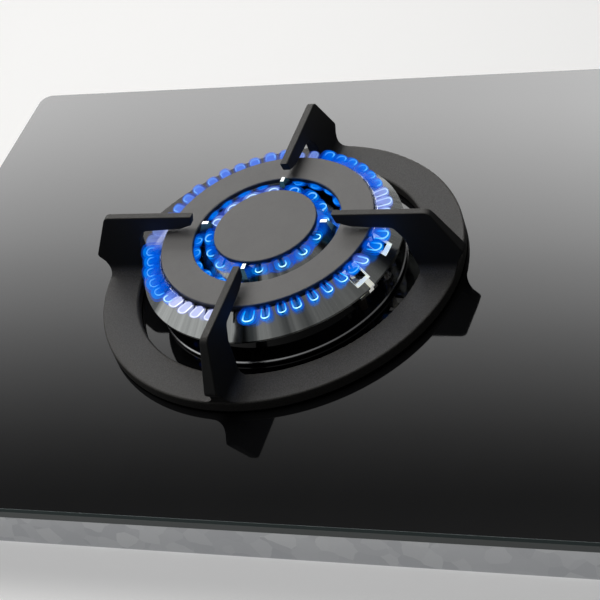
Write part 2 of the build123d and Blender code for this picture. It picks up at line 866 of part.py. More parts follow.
def support_arm():
    reach = support_outer_radius + arm_bulge - arm_tip_radius + 4
    half_top, half_foot = arm_top_thickness / 2, arm_foot_thickness / 2
    flare = half_foot + arm_foot_flare
    section = [(-flare, support_lift + 1), (flare, support_lift + 1), (flare, support_top), (half_foot, support_top),
               (half_top, arm_top + 1), (-half_top, arm_top + 1), (-half_foot, support_top), (-flare, support_top)]
    wedge = rounded(section, {3: arm_foot_flare - 0.2, 6: arm_foot_flare - 0.2})
    bar = extrude(Plane(origin=(arm_tip_radius - 2, 0, 0), x_dir=(0, 1, 0), z_dir=(1, 0, 0)) * wedge, reach)
    arm = extrude(Plane.XZ * arm_side(), flare + 1, both=True) & bar
    rims = [edge for edge in arm.edges() if edge.center().Z > support_top + 14 and edge.length > 5
            and edge.center().X > arm_tip_radius + 1 and abs(edge.center().Y) > 1]
    return fillet(rims, arm_edge_round)


def make_pan_support():
    middle = (support_inner_radius + support_outer_radius) / 2
    base = ring(support_outer_radius, support_inner_radius, support_lift, support_top)
    base = fillet(base.edges().group_by(Axis.Z)[-1], support_edge_round)
    base += around(arm_count, support_arm())
    peg_hole = Pos(middle, 0, 0) * upright(foot_peg_radius, 0, support_lift + foot_peg_height)
    return burner * (base - around(4, peg_hole, start=45))


def make_support_feet():
    middle = (support_inner_radius + support_outer_radius) / 2
    foot = upright(foot_radius, 0, support_lift) + upright(foot_peg_radius, 0, support_lift + foot_peg_height)
    return group(around(4, Pos(middle, 0, 0) * foot, start=45), burner)


# ---------------------------------------------------------------- tap

def plug_outline(clearance):
    return turned((0, plug_bottom), (plug_bottom_radius + clearance, plug_bottom), (plug_top_radius + clearance, plug_top),
                  (0, plug_top))


def make_tap_body():
    half_x, half_y = tap_width / 2, tap_length / 2
    rear_y, side_x = half_y + tap_boss_length, half_x + tap_boss_length
    body = block(-half_x, half_x, -half_y, half_y, tap_bottom, tap_top)
    body = fillet(body.edges().filter_by(Axis.Z), tap_corner_radius)
    body += rod(tap_boss_radius, (port_offset, half_y - 1, gas_way_z), (port_offset, rear_y, gas_way_z))
    body += rod(tap_boss_radius, (-port_offset, half_y - 1, outlet_z), (-port_offset, rear_y, outlet_z))
    body += rod(tap_boss_radius, (half_x - 1, 0, outlet_z), (side_x, 0, outlet_z))
    body -= plug_outline(running_clearance)
    body -= upright(spindle_shoulder_radius + 4 * motion_gap, plug_top - 0.01, tap_top + 1)
    body -= rod(valve_radius + valve_way_clearance, (-half_x - 1, 0, gas_way_z), (0, 0, gas_way_z))
    body -= rod(valve_radius - valve_seat_lip, (-1, 0, gas_way_z), (port_offset, 0, gas_way_z))
    body -= rod(gas_bore_radius, (port_offset, 0, gas_way_z), (port_offset, rear_y + 1, gas_way_z))
    body -= Pos(1 - port_offset, 0, 0) * upright(1.5, gas_way_z, plug_bottom + 1)
    body -= rod(gas_bore_radius, (-port_offset, 0, outlet_z), (-port_offset, rear_y + 1, outlet_z))
    body -= rod(gas_bore_radius, (0, 0, outlet_z), (side_x + 1, 0, outlet_z))
    hole = upright(bonnet_screw_radius, tap_top - bonnet_screw_length - 2, tap_top + 1)
    return tap * (body - [place * hole for place in bonnet_screw_places()])


def bonnet_screw_places():
    return [Pos(side * bonnet_screw_x, side * bonnet_screw_y, 0) for side in (-1, 1)]


def make_tap_bonnet():
    half_x, half_y = tap_width / 2, tap_length / 2
    bonnet_top = tap_top + bonnet_thickness
    bonnet = block(-half_x, half_x, -half_y, half_y, tap_top, bonnet_top)
    bonnet = fillet(bonnet.edges().filter_by(Axis.Z), tap_corner_radius)
    bonnet -= upright(spindle_radius + motion_gap, tap_top - 1, bonnet_top + 1)
    hole = upright(bonnet_screw_radius + screw_clearance, tap_top - 1, bonnet_top + 1)
    hole += upright(bonnet_screw_head_radius + 0.2, bonnet_top - bonnet_screw_head, bonnet_top + 1)
    return tap * (bonnet - [place * hole for place in bonnet_screw_places()])


def make_bonnet_screws():
    screw = pan_screw(bonnet_screw_radius, bonnet_thickness + bonnet_screw_length, bonnet_screw_head_radius,
                      bonnet_screw_head)
    seat = tap_top + bonnet_thickness - bonnet_screw_head
    return group([place * Pos(0, 0, seat) * screw for place in bonnet_screw_places()], tap)


def make_tap_plug():
    bore_top = outlet_z
    half_slot = plug_slot_width / 2
    plug = plug_outline(0)
    plug -= block(-half_slot, half_slot, -5, 5, plug_top - plug_slot_depth, plug_top + 1)
    plug -= upright(plug_bore, plug_bottom - 1, bore_top)
    cross_z = bore_top - 0.5
    return tap * (plug - rod(plug_cross_bore, (-tap_width, 0, cross_z), (tap_width, 0, cross_z)))


def spindle_flat_cut(top):
    return block(spindle_radius - spindle_flat, 2 * spindle_radius, -2 * spindle_radius, 2 * spindle_radius,
                 knob_bottom - 1, top)


def make_tap_spindle():
    top = knob_bottom + spindle_rise
    half_width, half_length = spindle_key_width / 2, spindle_key_length / 2
    key_top = plug_top + push_travel + 1
    spindle = upright(spindle_radius, plug_top + push_travel + motion_gap, top)
    spindle += upright(spindle_shoulder_radius, shoulder_top - spindle_shoulder_height, shoulder_top)
    spindle += block(-half_width, half_width, -half_length, half_length, plug_top - 1, key_top)
    return tap * (spindle - spindle_flat_cut(top + 1))


def make_spindle_spring():
    inset = spring_wire / 2 + spring_play
    bottom = plug_top + inset
    top = shoulder_top - spindle_shoulder_height - inset
    coil = Helix((top - bottom) / spring_turns, top - bottom, spring_radius)
    start = Plane(origin=coil @ 0, z_dir=coil % 0)
    wire = sweep(start * Circle(spring_wire / 2), path=coil, is_frenet=True)
    return tap * Pos(0, 0, bottom) * wire


def make_switch_disc():
    disc = ring(disc_radius, spindle_radius, disc_bottom, disc_top)
    collar = ring(spindle_radius + disc_collar_wall, spindle_radius, disc_bottom, disc_top + disc_collar_height)
    return tap * (disc + collar)


def make_safety_valve():
    seat_x = -valve_travel - valve_gap
    disc = rod(valve_radius, (seat_x - valve_thickness, 0, gas_way_z), (seat_x, 0, gas_way_z))
    stem = rod(valve_stem_radius, (-tap_width / 2 - valve_stem_length, 0, gas_way_z), (seat_x, 0, gas_way_z))
    return tap * (disc + stem)


def make_magnet_unit():
    x = -tap_width / 2
    unit = rod(magnet_radius, (x - magnet_length, 0, gas_way_z), (x, 0, gas_way_z))
    unit += hexagon(magnet_nut_hex, (x - magnet_nut_length, 0, gas_way_z), (x, 0, gas_way_z))
    tail = x - magnet_length - magnet_tail_length
    unit += rod(magnet_tail_radius, (tail, 0, gas_way_z), (x - magnet_length, 0, gas_way_z))
    bore = rod(valve_stem_radius + motion_gap, (x - valve_stem_depth, 0, gas_way_z), (x + 1, 0, gas_way_z))
    return tap * (unit - bore)


def make_ignition_switch():
    x = -tap_width / 2
    half_length = switch_length / 2
    body = block(x - switch_width, x, -half_length, half_length, switch_bottom, switch_top)
    body = fillet(body.edges().filter_by(Axis.Z), 1)
    tab_x = x - switch_width + 2
    for start, end in ((-7, -4), (4, 7)):
        body += block(tab_x, tab_x + switch_tab_thickness, start, end, switch_bottom - switch_tab_length, switch_bottom)
    hole = upright(plunger_radius + plunger_clearance, switch_top - plunger_hole_depth, switch_top + 1)
    return tap * (body - Pos(switch_x, 0, 0) * hole)


def make_switch_plunger():
    return tap * Pos(switch_x, 0, 0) * upright(plunger_radius, plunger_top - plunger_length, plunger_top)


# ---------------------------------------------------------------- knob

def make_control_knob():
    rim, grip = knob_bottom + knob_skirt_height, knob_grip_radius
    body = turned((0, knob_bottom), (knob_radius, knob_bottom), (knob_radius, rim - 3), (knob_radius - 1.5, rim),
                  (knob_radius - 3.2, rim + 0.5), (grip, knob_top - 1), (grip - 1, knob_top), (0, knob_top))
    body -= ring(knob_radius - knob_wall, knob_hub_radius, knob_bottom - 1, knob_bottom + knob_hollow)
    scallop = Pos(knob_scallop_offset, 0, 0) * upright(knob_scallop_radius, knob_bottom + knob_scallop_bottom,
                                                       knob_top + 1)
    body -= around(2, scallop, start=90)
    body -= upright(spindle_radius + clip_wall, knob_bottom - 1, knob_bottom + clip_height + 1)
    pointer_start = 3 - knob_radius
    pointer = block(-pointer_width / 2, pointer_width / 2, pointer_start, pointer_start + pointer_length,
                    knob_top - pointer_depth, knob_top + 1)
    return tap * (body - pointer)


def make_knob_clip():
    top = knob_bottom + clip_height
    sleeve = upright(spindle_radius + clip_wall, knob_bottom + 1, top + 1)
    shaft = upright(spindle_radius, knob_bottom, top) - spindle_flat_cut(top + 1)
    return tap * (sleeve - shaft)


def make_knob_bezel():
    inner = knob_radius + bezel_gap
    bezel = ring(inner + bezel_width, inner, glass_top, glass_top + bezel_thickness)
    return tap * chamfer(bezel.edges().group_by(Axis.Z)[-1], bezel_bevel)


def make_spindle_seal():
    bore, bottom, top = spindle_radius + motion_gap, glass_top - seal_sink, glass_top + seal_rise
    seal = turned((bore, bottom), (spindle_hole_radius, bottom), (spindle_hole_radius, glass_top),
                  (spindle_hole_radius + seal_lip, glass_top), (spindle_hole_radius + seal_lip - 0.5, top), (bore, top))
    return tap * seal


# ---------------------------------------------------------------- tap bracket

def make_tap_bracket():
    half_y = tap_length / 2
    outer = tap_width / 2 - stand_inset
    inner = outer - stand_thickness
    foot_end = tap_width / 2 + stand_foot
    stand = block(-outer, outer, -half_y, half_y, tap_bottom - stand_thickness, tap_bottom)
    for start, end in ((-outer, -inner), (inner, outer)):
        stand += block(start, end, -half_y, half_y, tray_wall, tap_bottom)
    for start, end in ((-foot_end, -inner), (inner, foot_end)):
        stand += block(start, end, -half_y, half_y, tray_wall, tray_wall + stand_thickness)
    return tap * stand


def make_tap_bracket_screws():
    top = tray_wall + stand_thickness
    return group([Pos(side * stand_screw_x, half * stand_screw_y, top) * button_screw()
                  for side in (-1, 1) for half in (-1, 1)], tap)


# ---------------------------------------------------------------- gas inlet and tubes

def inlet_rod(radius, start, end):
    """Bar on the inlet's axis, its ends counted outwards from the rear panel."""
    return rod(radius, (inlet_x, rear + start, inlet_z), (inlet_x, rear + end, inlet_z))


def make_inlet_elbow():
    socket_end = inlet_socket - inlet_body_length
    flange = hexagon(inlet_hex, (inlet_x, rear, inlet_z), (inlet_x, rear + inlet_flange, inlet_z))
    body = inlet_rod(inlet_thread_radius, -inlet_body_radius, inlet_flange + inlet_thread_length) + flange
    body += inlet_rod(inlet_body_radius, -inlet_body_length, -inlet_body_radius)
    body -= inlet_rod(inlet_bore, socket_end - 1, inlet_flange + inlet_thread_length + 1)
    return body - inlet_rod(tube_radius, -inlet_body_length - 1, socket_end)


def make_inlet_locknut():
    inside = rear - tray_wall
    nut = hexagon(locknut_hex, (inlet_x, inside - locknut_length, inlet_z), (inlet_x, inside, inlet_z))
    return nut - inlet_rod(inlet_thread_radius, -tray_wall - locknut_length - 1, 1)


def inlet_route():
    floor_z = tray_wall + tube_radius + tube_floor_gap
    tap_face = knob_y + tap_length / 2 + tap_boss_length
    socket = rear - inlet_body_length + socket_inset
    return [(inlet_x, socket, inlet_z), (inlet_x, socket - inlet_straight, inlet_z),
            (inlet_x, tap_face + inlet_run_in, floor_z), (inlet_x - inlet_turn_x, tap_face + inlet_turn_in, floor_z),
            (port_offset, tap_face + inlet_tap_run, gas_way_z), (port_offset, tap_face, gas_way_z)]


def inner_route():
    tap_face = knob_y + tap_length / 2 + tap_boss_length
    burner_face = burner_y - cup_face
    level = glass_top + way_z
    return [(-port_offset, tap_face, outlet_z), (-port_offset, tap_face + inner_tap_run, outlet_z),
            (0, burner_face - inner_burner_run, level), (0, burner_face, level)]


def outer_route():
    tap_face = tap_width / 2 + tap_boss_length
    burner_face = burner_y - cup_face
    level = glass_top + way_z
    turn_x = tap_face + outer_tap_run
    return [(tap_face, knob_y, outlet_z), (turn_x, knob_y, outlet_z), (turn_x, knob_y + outer_side_run, level),
            (outer_injector_x, burner_face - outer_burner_run, level), (outer_injector_x, burner_face, level)]


def end_nut(route, last):
    """Union nut on one end of a tube."""
    end, inward = (route[-1], route[-2]) if last else (route[0], route[1])
    end = Vector(*end)
    along = (Vector(*inward) - end).normalized()
    nut = hexagon(nut_hex, end, end + along * nut_length)
    return nut - rod(tube_radius, end - along, end + along * (nut_length + 1))


def make_tube_nuts():
    nuts = [end_nut(route, last) for route in (inner_route(), outer_route()) for last in (False, True)]
    return group(nuts + [end_nut(inlet_route(), True)])


# ---------------------------------------------------------------- electrics

def make_spark_generator():
    case = Box(generator_length, generator_width, generator_height, align=above)
    case = fillet(case.edges().filter_by(Axis.Z), generator_corner_radius)
    ear_length = generator_ear_length + generator_ear_overlap
    ear = Box(ear_length, generator_ear_width, generator_ear_thickness, align=outward)
    case += around(2, Pos(generator_length / 2 - generator_ear_overlap, 0, 0) * ear)
    stub_x, half_width, middle = generator_length / 2 - generator_stub_inset, generator_width / 2, generator_height / 2
    case += rod(generator_stub_radius, (stub_x, 1 - half_width, middle),
                (stub_x, -half_width - generator_stub_length, middle))
    return Pos(generator_x, generator_y, tray_wall) * case


def make_generator_screws():
    reach = generator_length / 2 + generator_screw_inset
    return group([Pos(generator_x + side * reach, generator_y, tray_wall + generator_ear_thickness) * button_screw()
                  for side in (-1, 1)])


def make_terminal_block():
    body = Box(terminal_length, terminal_width, terminal_height, align=above)
    body = chamfer(body.edges().group_by(Axis.Z)[-1], terminal_bevel)
    for index in (-1, 0, 1):
        body -= Pos(index * terminal_hole_pitch, terminal_hole_y, 0) * upright(
            terminal_hole_radius, terminal_height - terminal_hole_depth, terminal_height + 1)
    return Pos(terminal_x, terminal_y, tray_wall) * body


def gland_rod(radius, start, end):
    """Bar on the gland's axis, its ends counted outwards from the rear panel."""
    return rod(radius, (gland_x, rear + start, gland_z), (gland_x, rear + end, gland_z))


def make_cable_gland():
    inside = rear - tray_wall
    gland = gland_rod(gland_radius, -gland_reach, gland_reach)
    gland += gland_rod(gland_radius + gland_flange_width, 0, gland_flange)
    gland += hexagon(2 * gland_radius + 4, (gland_x, inside - gland_nut_length, gland_z), (gland_x, inside, gland_z))
    return gland - gland_rod(gland_bore, -2 * gland_reach, 2 * gland_reach)


def probe_foot(angle, z):
    turn = math.radians(angle)
    return (probe_circle * math.cos(turn), burner_y + probe_circle * math.sin(turn), z)


def make_ignition_lead():
    x, y, z = probe_foot(electrode_angle, glass_top + insulator_bottom - electrode_tail)
    stub_x = generator_x + generator_length / 2 - generator_stub_inset
    stub_y = generator_y - generator_width / 2 - generator_stub_length
    level = tray_wall + generator_height / 2
    middle = [(point_x, burner_y + point_y, level) for point_x, point_y in ignition_lead_points]
    points = [(x, y, z), (x, y, level), *middle, (stub_x, stub_y - ignition_lead_run, level), (stub_x, stub_y, level)]
    return routed(lead_radius, points, lead_bend_radius)


def make_thermocouple_lead():
    x, y, z = probe_foot(thermocouple_angle, glass_top + insulator_bottom + 8)
    end_x = -tap_width / 2 - magnet_length - magnet_tail_length
    middle = [(turn_x, knob_y + turn_y, gas_way_z) for turn_x, turn_y in zip(probe_lead_x, probe_lead_y)]
    points = [(x, y, z), (x, y, z - probe_lead_drop), *middle, (probe_lead_x[-1], knob_y, gas_way_z),
              (end_x, knob_y, gas_way_z)]
    return routed(lead_radius, points, lead_bend_radius)


def make_switch_lead():
    run, start_y, start_z = switch_lead_start
    x, y, z = -tap_width / 2 - switch_width, knob_y + start_y, switch_bottom + start_z
    end_x, end_y = generator_x - switch_lead_end_x, generator_y - generator_width / 2
    first_y, second_y = (knob_y + turn_y for turn_y in switch_lead_y)
    points = [(x, y, z), (x - run, y, z), (switch_lead_x, first_y, lead_floor_z + switch_lead_rise),
              (end_x, second_y, lead_floor_z), (end_x, end_y, lead_floor_z)]
    return routed(lead_radius, points, lead_bend_radius)


def make_supply_lead():
    start_y = terminal_y - terminal_width / 2
    end_y = generator_y + generator_width / 2
    return rod(lead_radius, (terminal_x, start_y, lead_floor_z), (terminal_x, end_y, lead_floor_z))


nodes = {
    "glass_top": make_glass,
    "worktop_seal": make_worktop_seal,
    "bottom_tray": make_tray,
    "rear_panel": make_rear_panel,
    "tray_brackets": make_tray_brackets,
    "tray_screws": make_tray_screws,
    "burner_seal": make_burner_seal,
    "lower_seal": make_lower_seal,
    "burner_base": make_burner_base,
    "clamp_plate": make_clamp_plate,
    "burner_cup": make_burner_cup,
    "burner_screws": make_burner_screws,
    "inner_injector": make_inner_injector,
    "outer_injectors": make_outer_injectors,
    "flame_crown": make_flame_crown,
    "flame_hub": make_flame_hub,
    "crown_bridges": make_crown_bridges,
    "ring_cap": make_ring_cap,
    "inner_cap": make_inner_cap,
    "electrode_insulator": make_electrode_insulator,
    "ignition_electrode": make_ignition_electrode,
    "electrode_clip": make_electrode_clip,
    "thermocouple_probe": make_thermocouple_probe,
    "thermocouple_nut": make_thermocouple_nut,
    "pan_support": make_pan_support,
    "support_feet": make_support_feet,
    "tap_body": make_tap_body,
    "tap_bonnet": make_tap_bonnet,
    "bonnet_screws": make_bonnet_screws,
    "tap_plug": make_tap_plug,
    "tap_spindle": make_tap_spindle,
    "spindle_spring": make_spindle_spring,
    "switch_disc": make_switch_disc,
    "safety_valve": make_safety_valve,
    "magnet_unit": make_magnet_unit,
    "ignition_switch": make_ignition_switch,
    "switch_plunger": make_switch_plunger,
    "control_knob": make_control_knob,
    "knob_clip": make_knob_clip,
    "knob_bezel": make_knob_bezel,
    "spindle_seal": make_spindle_seal,
    "tap_bracket": make_tap_bracket,
    "tap_bracket_screws": make_tap_bracket_screws,
    "inlet_elbow": make_inlet_elbow,
    "inlet_locknut": make_inlet_locknut,
    "inlet_tube": lambda: pipe(inlet_route()),
    "inner_supply_tube": lambda: pipe(inner_route()),
    "outer_supply_tube": lambda: pipe(outer_route()),
    "tube_nuts": make_tube_nuts,
    "spark_generator": make_spark_generator,
    "generator_screws": make_generator_screws,
    "terminal_block": make_terminal_block,
    "cable_gland": make_cable_gland,
    "ignition_lead": make_ignition_lead,
    "thermocouple_lead": make_thermocouple_lead,
    "switch_lead": make_switch_lead,
    "supply_lead": make_supply_lead,
}

os.makedirs("parts", exist_ok=True)
for name, make in nodes.items():
    export_step(make(), f"parts/{name}.step")
    print(name)
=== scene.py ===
import math
import random

import bpy
from mathutils import Euler, Matrix, Vector


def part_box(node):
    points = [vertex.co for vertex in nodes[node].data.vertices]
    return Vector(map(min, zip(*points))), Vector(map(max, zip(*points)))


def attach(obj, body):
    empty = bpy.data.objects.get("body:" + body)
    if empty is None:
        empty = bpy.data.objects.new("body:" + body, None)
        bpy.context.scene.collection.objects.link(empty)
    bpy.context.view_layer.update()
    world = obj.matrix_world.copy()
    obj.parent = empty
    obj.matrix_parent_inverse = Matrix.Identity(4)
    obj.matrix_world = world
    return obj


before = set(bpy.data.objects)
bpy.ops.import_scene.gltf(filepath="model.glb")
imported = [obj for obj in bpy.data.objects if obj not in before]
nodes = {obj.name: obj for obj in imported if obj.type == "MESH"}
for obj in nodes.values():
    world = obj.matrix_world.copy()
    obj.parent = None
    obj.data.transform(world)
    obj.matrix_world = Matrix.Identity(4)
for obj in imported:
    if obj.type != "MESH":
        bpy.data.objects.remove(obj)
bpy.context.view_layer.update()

scene = bpy.context.scene
scene.view_settings.view_transform = "Standard"
scene.cycles.transparent_max_bounces = 32  # a ray crosses many thin flame shells

burner = {
    "centre": Vector((0, 0.008, 0.052)),  # on the glass, under the middle of the caps
    "pockets": (-116.5, -95.5),  # where the skirt's two pockets stand, in degrees round the burner
}
knob = {"centre": Vector((0, -0.222, 0.052)), "top": 0.0785}


class Wire:  # a node's output, on which the usual operators add Math nodes
    def __init__(self, shader, socket):
        self.shader = shader
        self.socket = socket

    def __add__(self, other):
        return self.shader.math("ADD", self, other)

    def __sub__(self, other):
        return self.shader.math("SUBTRACT", self, other)

    def __rsub__(self, other):
        return self.shader.math("SUBTRACT", other, self)

    def __mul__(self, other):
        return self.shader.math("MULTIPLY", self, other)

    def __truediv__(self, other):
        return self.shader.math("DIVIDE", self, other)

    def __gt__(self, other):
        return self.shader.math("GREATER_THAN", self, other)

    def __lt__(self, other):
        return self.shader.math("LESS_THAN", self, other)

    def __abs__(self):
        return self.shader.math("ABSOLUTE", self)

    def within(self, low, high):
        return (self > low) * (self < high)

    def clamped(self):
        return self.shader.math("ADD", self, 0.0, True)

    def smooth(self, low, high, to=(0.0, 1.0)):  # eases from one value to the other between low and high
        return self.shader.node("MapRange", {"interpolation_type": "SMOOTHSTEP"},
                                {0: self, 1: low, 2: high, 3: to[0], 4: to[1]})


class Shader:  # a node tree with short calls
    def __init__(self, tree):
        self.tree = tree
        tree.nodes.clear()

    def node(self, kind, settings=None, values=None, output=0):
        made = self.tree.nodes.new("ShaderNode" + kind)
        for name, value in (settings or {}).items():
            setattr(made, name, value)
        for name, value in (values or {}).items():
            if isinstance(value, Wire):
                self.tree.links.new(value.socket, made.inputs[name])
            else:
                made.inputs[name].default_value = value
        return Wire(self, made.outputs[output]) if len(made.outputs) else None

    def math(self, operation, first, second=0.0, clamp=False):
        return self.node("Math", {"operation": operation, "use_clamp": clamp}, {0: first, 1: second})

    def vectorMath(self, operation, values, output="Vector"):
        return self.node("VectorMath", {"operation": operation}, values, output)

    def place(self):  # Object coordinates: metres in the frame
        return self.node("TexCoord", output="Object")

    def shifted(self, vector, by=(0, 0, 0), scale=(1, 1, 1)):
        return self.node("Mapping", None, {"Vector": vector, "Location": by, "Scale": scale})

    def parts(self, vector):
        split = self.node("SeparateXYZ", None, {0: vector}).socket.node
        return [Wire(self, output) for output in split.outputs]

    def vector(self, x, y, z):
        return self.node("CombineXYZ", None, {0: x, 1: y, 2: z})

    def length(self, vector):
        return self.vectorMath("LENGTH", {0: vector}, "Value")

    def up(self):  # 1 on level faces and 0 on upright ones
        return self.parts(self.node("TexCoord", output="Normal"))[2]

    def ray(self, kind):  # 1 for the rays of one kind
        return self.node("LightPath", output=f"Is {kind} Ray")

    def noise(self, vector, scale, detail=2.0, roughness=0.5):
        return self.node("TexNoise", None, {"Vector": vector, "Scale": scale, "Detail": detail,
                                            "Roughness": roughness})

    def ramp(self, stops, place):  # a grey level that changes from stop to stop
        made = self.node("ValToRGB", None, {0: place})
        elements = made.socket.node.color_ramp.elements
        while len(elements) < len(stops):
            elements.new(1)
        for element, (position, level) in zip(elements, stops):
            element.position = position
            element.color = (level, level, level, 1)
        return made

    def blend(self, factor, first, second):  # 6, 7 and 2 are the Mix node's colour sockets
        return self.node("Mix", {"data_type": "RGBA"}, {0: factor, 6: rgba(first), 7: rgba(second)}, 2)

    def bump(self, height, distance, strength=1.0):
        return self.node("Bump", None, {"Height": height, "Distance": distance, "Strength": strength})


def rgba(colour):
    return colour if isinstance(colour, Wire) else (*colour[:3], 1)


def darker(colour, share):
    return [c * (1 - share) for c in colour]


class Finish(Shader):  # a material with one Principled surface
    def __init__(self, name):
        self.material = bpy.data.materials.new(name)
        self.material.use_nodes = True
        super().__init__(self.material.node_tree)

    def surface(self, **sockets):
        named = {name.replace("_", " "): value for name, value in sockets.items()}
        for name in ("Base Color", "Emission Color"):
            if name in named:
                named[name] = rgba(named[name])
        body = self.node("BsdfPrincipled", None, named)
        self.node("OutputMaterial", None, {0: body})
        return self.material


camera = {
    "place": (-0.724328, -0.436466, 0.733603),
    "turn": (48.39085, 16.03734, -72.48749),  # degrees; the picture is rolled 21 degrees
    "lens": 109.177,
    "sensor": 36,
}
cameraTurn = Euler([math.radians(angle) for angle in camera["turn"]])
bpy.ops.object.camera_add(location=camera["place"], rotation=cameraTurn)
scene.camera = bpy.context.object
scene.camera.data.lens = camera["lens"]
scene.camera.data.sensor_width = camera["sensor"]
print("camera set")


light = {
    "matt": 0.06,  # level of the room on matt surfaces
    "roomKey": (0.2, 0.75, 0.45),  # towards the room's bright side
    "roomLevels": [(0.0, 0.02), (0.35, 0.07), (0.5, 0.13), (0.75, 0.28), (0.95, 0.62)],  # dark to bright side
    # the softbox that the glass mirrors: its levels from low to high, by the slope up from its middle
    "boxLevels": [(-0.1072, 0.15), (-0.0918, 0.23), (-0.0736, 0.40), (-0.0555, 0.68), (-0.0374, 1.04),
                  (-0.0192, 1.50), (-0.0011, 2.1), (0.0170, 2.65), (0.0352, 3.4), (0.0533, 4.0),
                  (0.0714, 4.6), (0.0896, 5.2), (0.1077, 5.6)],
    "boxSpan": 0.12,  # those slopes lie between minus and plus this one
    "boxPeak": 6.0,  # more than the highest of them
    "boxLean": 0.9,  # how it brightens to one side
    "boxBow": 6.0,  # how it brightens to both sides
    "boxSides": (0.24, 0.5),  # slopes over which its edges fade
    "boxTop": (0.2, 0.5),
    "boxFoot": (-0.2, -0.11),
    "background": (0.97, 0.97, 0.97),
}


def mirrored(direction):  # as the level glass turns it
    return Vector((direction.x, direction.y, -direction.z))


def buildWorld():
    world = bpy.data.worlds.new("studio")
    scene.world = world
    world.use_nodes = True
    sky = Shader(world.node_tree)
    direction = sky.node("TexCoord", output="Generated")

    def along(axis):
        return sky.vectorMath("DOT_PRODUCT", {0: direction, 1: axis}, "Value")

    turn = cameraTurn.to_matrix()
    boxMiddle = mirrored(turn @ Vector((0, 0, -1)))  # what the camera sees in the glass
    boxUp = mirrored(turn @ Vector((0, 1, 0)))
    ahead = along(boxMiddle)
    slope = along(boxUp) / ahead
    side = along(boxUp.cross(boxMiddle)) / ahead
    span, peak = light["boxSpan"], light["boxPeak"]
    stops = [((place + span) / (2 * span), level / peak) for place, level in light["boxLevels"]]
    box = sky.ramp(stops, (slope + span) / (2 * span)) * peak
    box = box * (side * light["boxLean"] + side * side * light["boxBow"] + 1.0)
    edge = (ahead > 0.0) * abs(side).smooth(*light["boxSides"], (1, 0))
    edge = edge * slope.smooth(*light["boxTop"], (1, 0)) * slope.smooth(*light["boxFoot"])
    room = sky.ramp(light["roomLevels"], along(light["roomKey"]) * 0.5 + 0.5)
    gloss = box * edge + room * (1 - edge)
    isGloss = sky.ray("Glossy")
    level = isGloss * gloss + (1 - isGloss) * light["matt"]
    shade = sky.blend(sky.ray("Camera"), sky.vector(level, level, level), light["background"])
    sky.node("OutputWorld", None, {0: sky.node("Background", None, {"Color": shade})})


def buildLamp():
    lamp = {"place": (0.35, 0.45, 1.25), "aim": (0, 0.02, 0.06), "size": 0.9, "power": 16,
            "colour": (1.0, 0.985, 0.965)}
    bpy.ops.object.light_add(type="AREA", location=lamp["place"])
    overhead = bpy.context.object
    overhead.name = "overhead"
    beam = Vector(lamp["aim"]) - Vector(lamp["place"])
    overhead.rotation_euler = beam.to_track_quat("-Z", "Y").to_euler()
    overhead.data.size = lamp["size"]
    overhead.data.energy = lamp["power"]
    overhead.data.color = lamp["colour"]
    overhead.visible_glossy = False  # the world's softbox is what gloss mirrors


def buildFloor():
    floor = {"size": 8, "drop": 0.0004, "colour": (0.56, 0.56, 0.557), "spread": 0.015, "grain": 40,
             "rough": 0.9, "gloss": 0.1, "glow": 0.42,
             "bounced": (0.25, 0.25, 0.25)}  # little light comes back up onto the object
    bpy.ops.object.select_all(action="DESELECT")
    bpy.ops.mesh.primitive_plane_add(size=floor["size"], location=(0, 0, -floor["drop"]))
    plane = bpy.context.object
    plane.name = "floor"
    bpy.ops.object.transform_apply(location=True, rotation=True, scale=True)
    paint = Finish("floorPaint")
    speck = paint.noise(paint.place(), floor["grain"], 3)
    pale = paint.blend(speck, floor["colour"], darker(floor["colour"], floor["spread"]))
    seen = (paint.ray("Camera") + paint.ray("Glossy") + paint.ray("Transmission")).clamped()
    plane.data.materials.append(paint.surface(
        Base_Color=paint.blend(paint.ray("Diffuse"), pale, floor["bounced"]),
        Roughness=floor["rough"], Specular_IOR_Level=floor["gloss"],
        Emission_Color=paint.blend(seen, (0, 0, 0), (1, 1, 1)), Emission_Strength=floor["glow"]))


buildWorld()
buildLamp()
buildFloor()
print("studio built")


def fromBurner(paint):  # the level vector out from the burner's axis, and the height
    centre = burner["centre"]
    x, y, z = paint.parts(paint.shifted(paint.place(), by=(-centre.x, -centre.y, 0)))
    return paint.vector(x, y, 0.0), z


def blackGlass():
    glass = {"colour": (0.0035, 0.0036, 0.004), "ground": (0.03, 0.045, 0.045), "halfWidth": 0.1885,
             "halfDepth": 0.2585, "wipe": 14, "rough": 0.035, "wipeRough": 0.02, "groundRough": 0.3}
    paint = Finish("black_glass")
    x, y = paint.parts(paint.place())[:2]
    # the edge of the plate is ground
    ground = paint.math("MAXIMUM", abs(x) > glass["halfWidth"], abs(y) > glass["halfDepth"])
    wipe = paint.noise(paint.shifted(paint.place(), scale=(1, 3, 1)), glass["wipe"], 4).smooth(0.3, 0.8)
    return paint.surface(
        Base_Color=paint.blend(ground, glass["colour"], glass["ground"]),
        Roughness=ground * glass["groundRough"] + wipe * glass["wipeRough"] + glass["rough"], IOR=1.5)


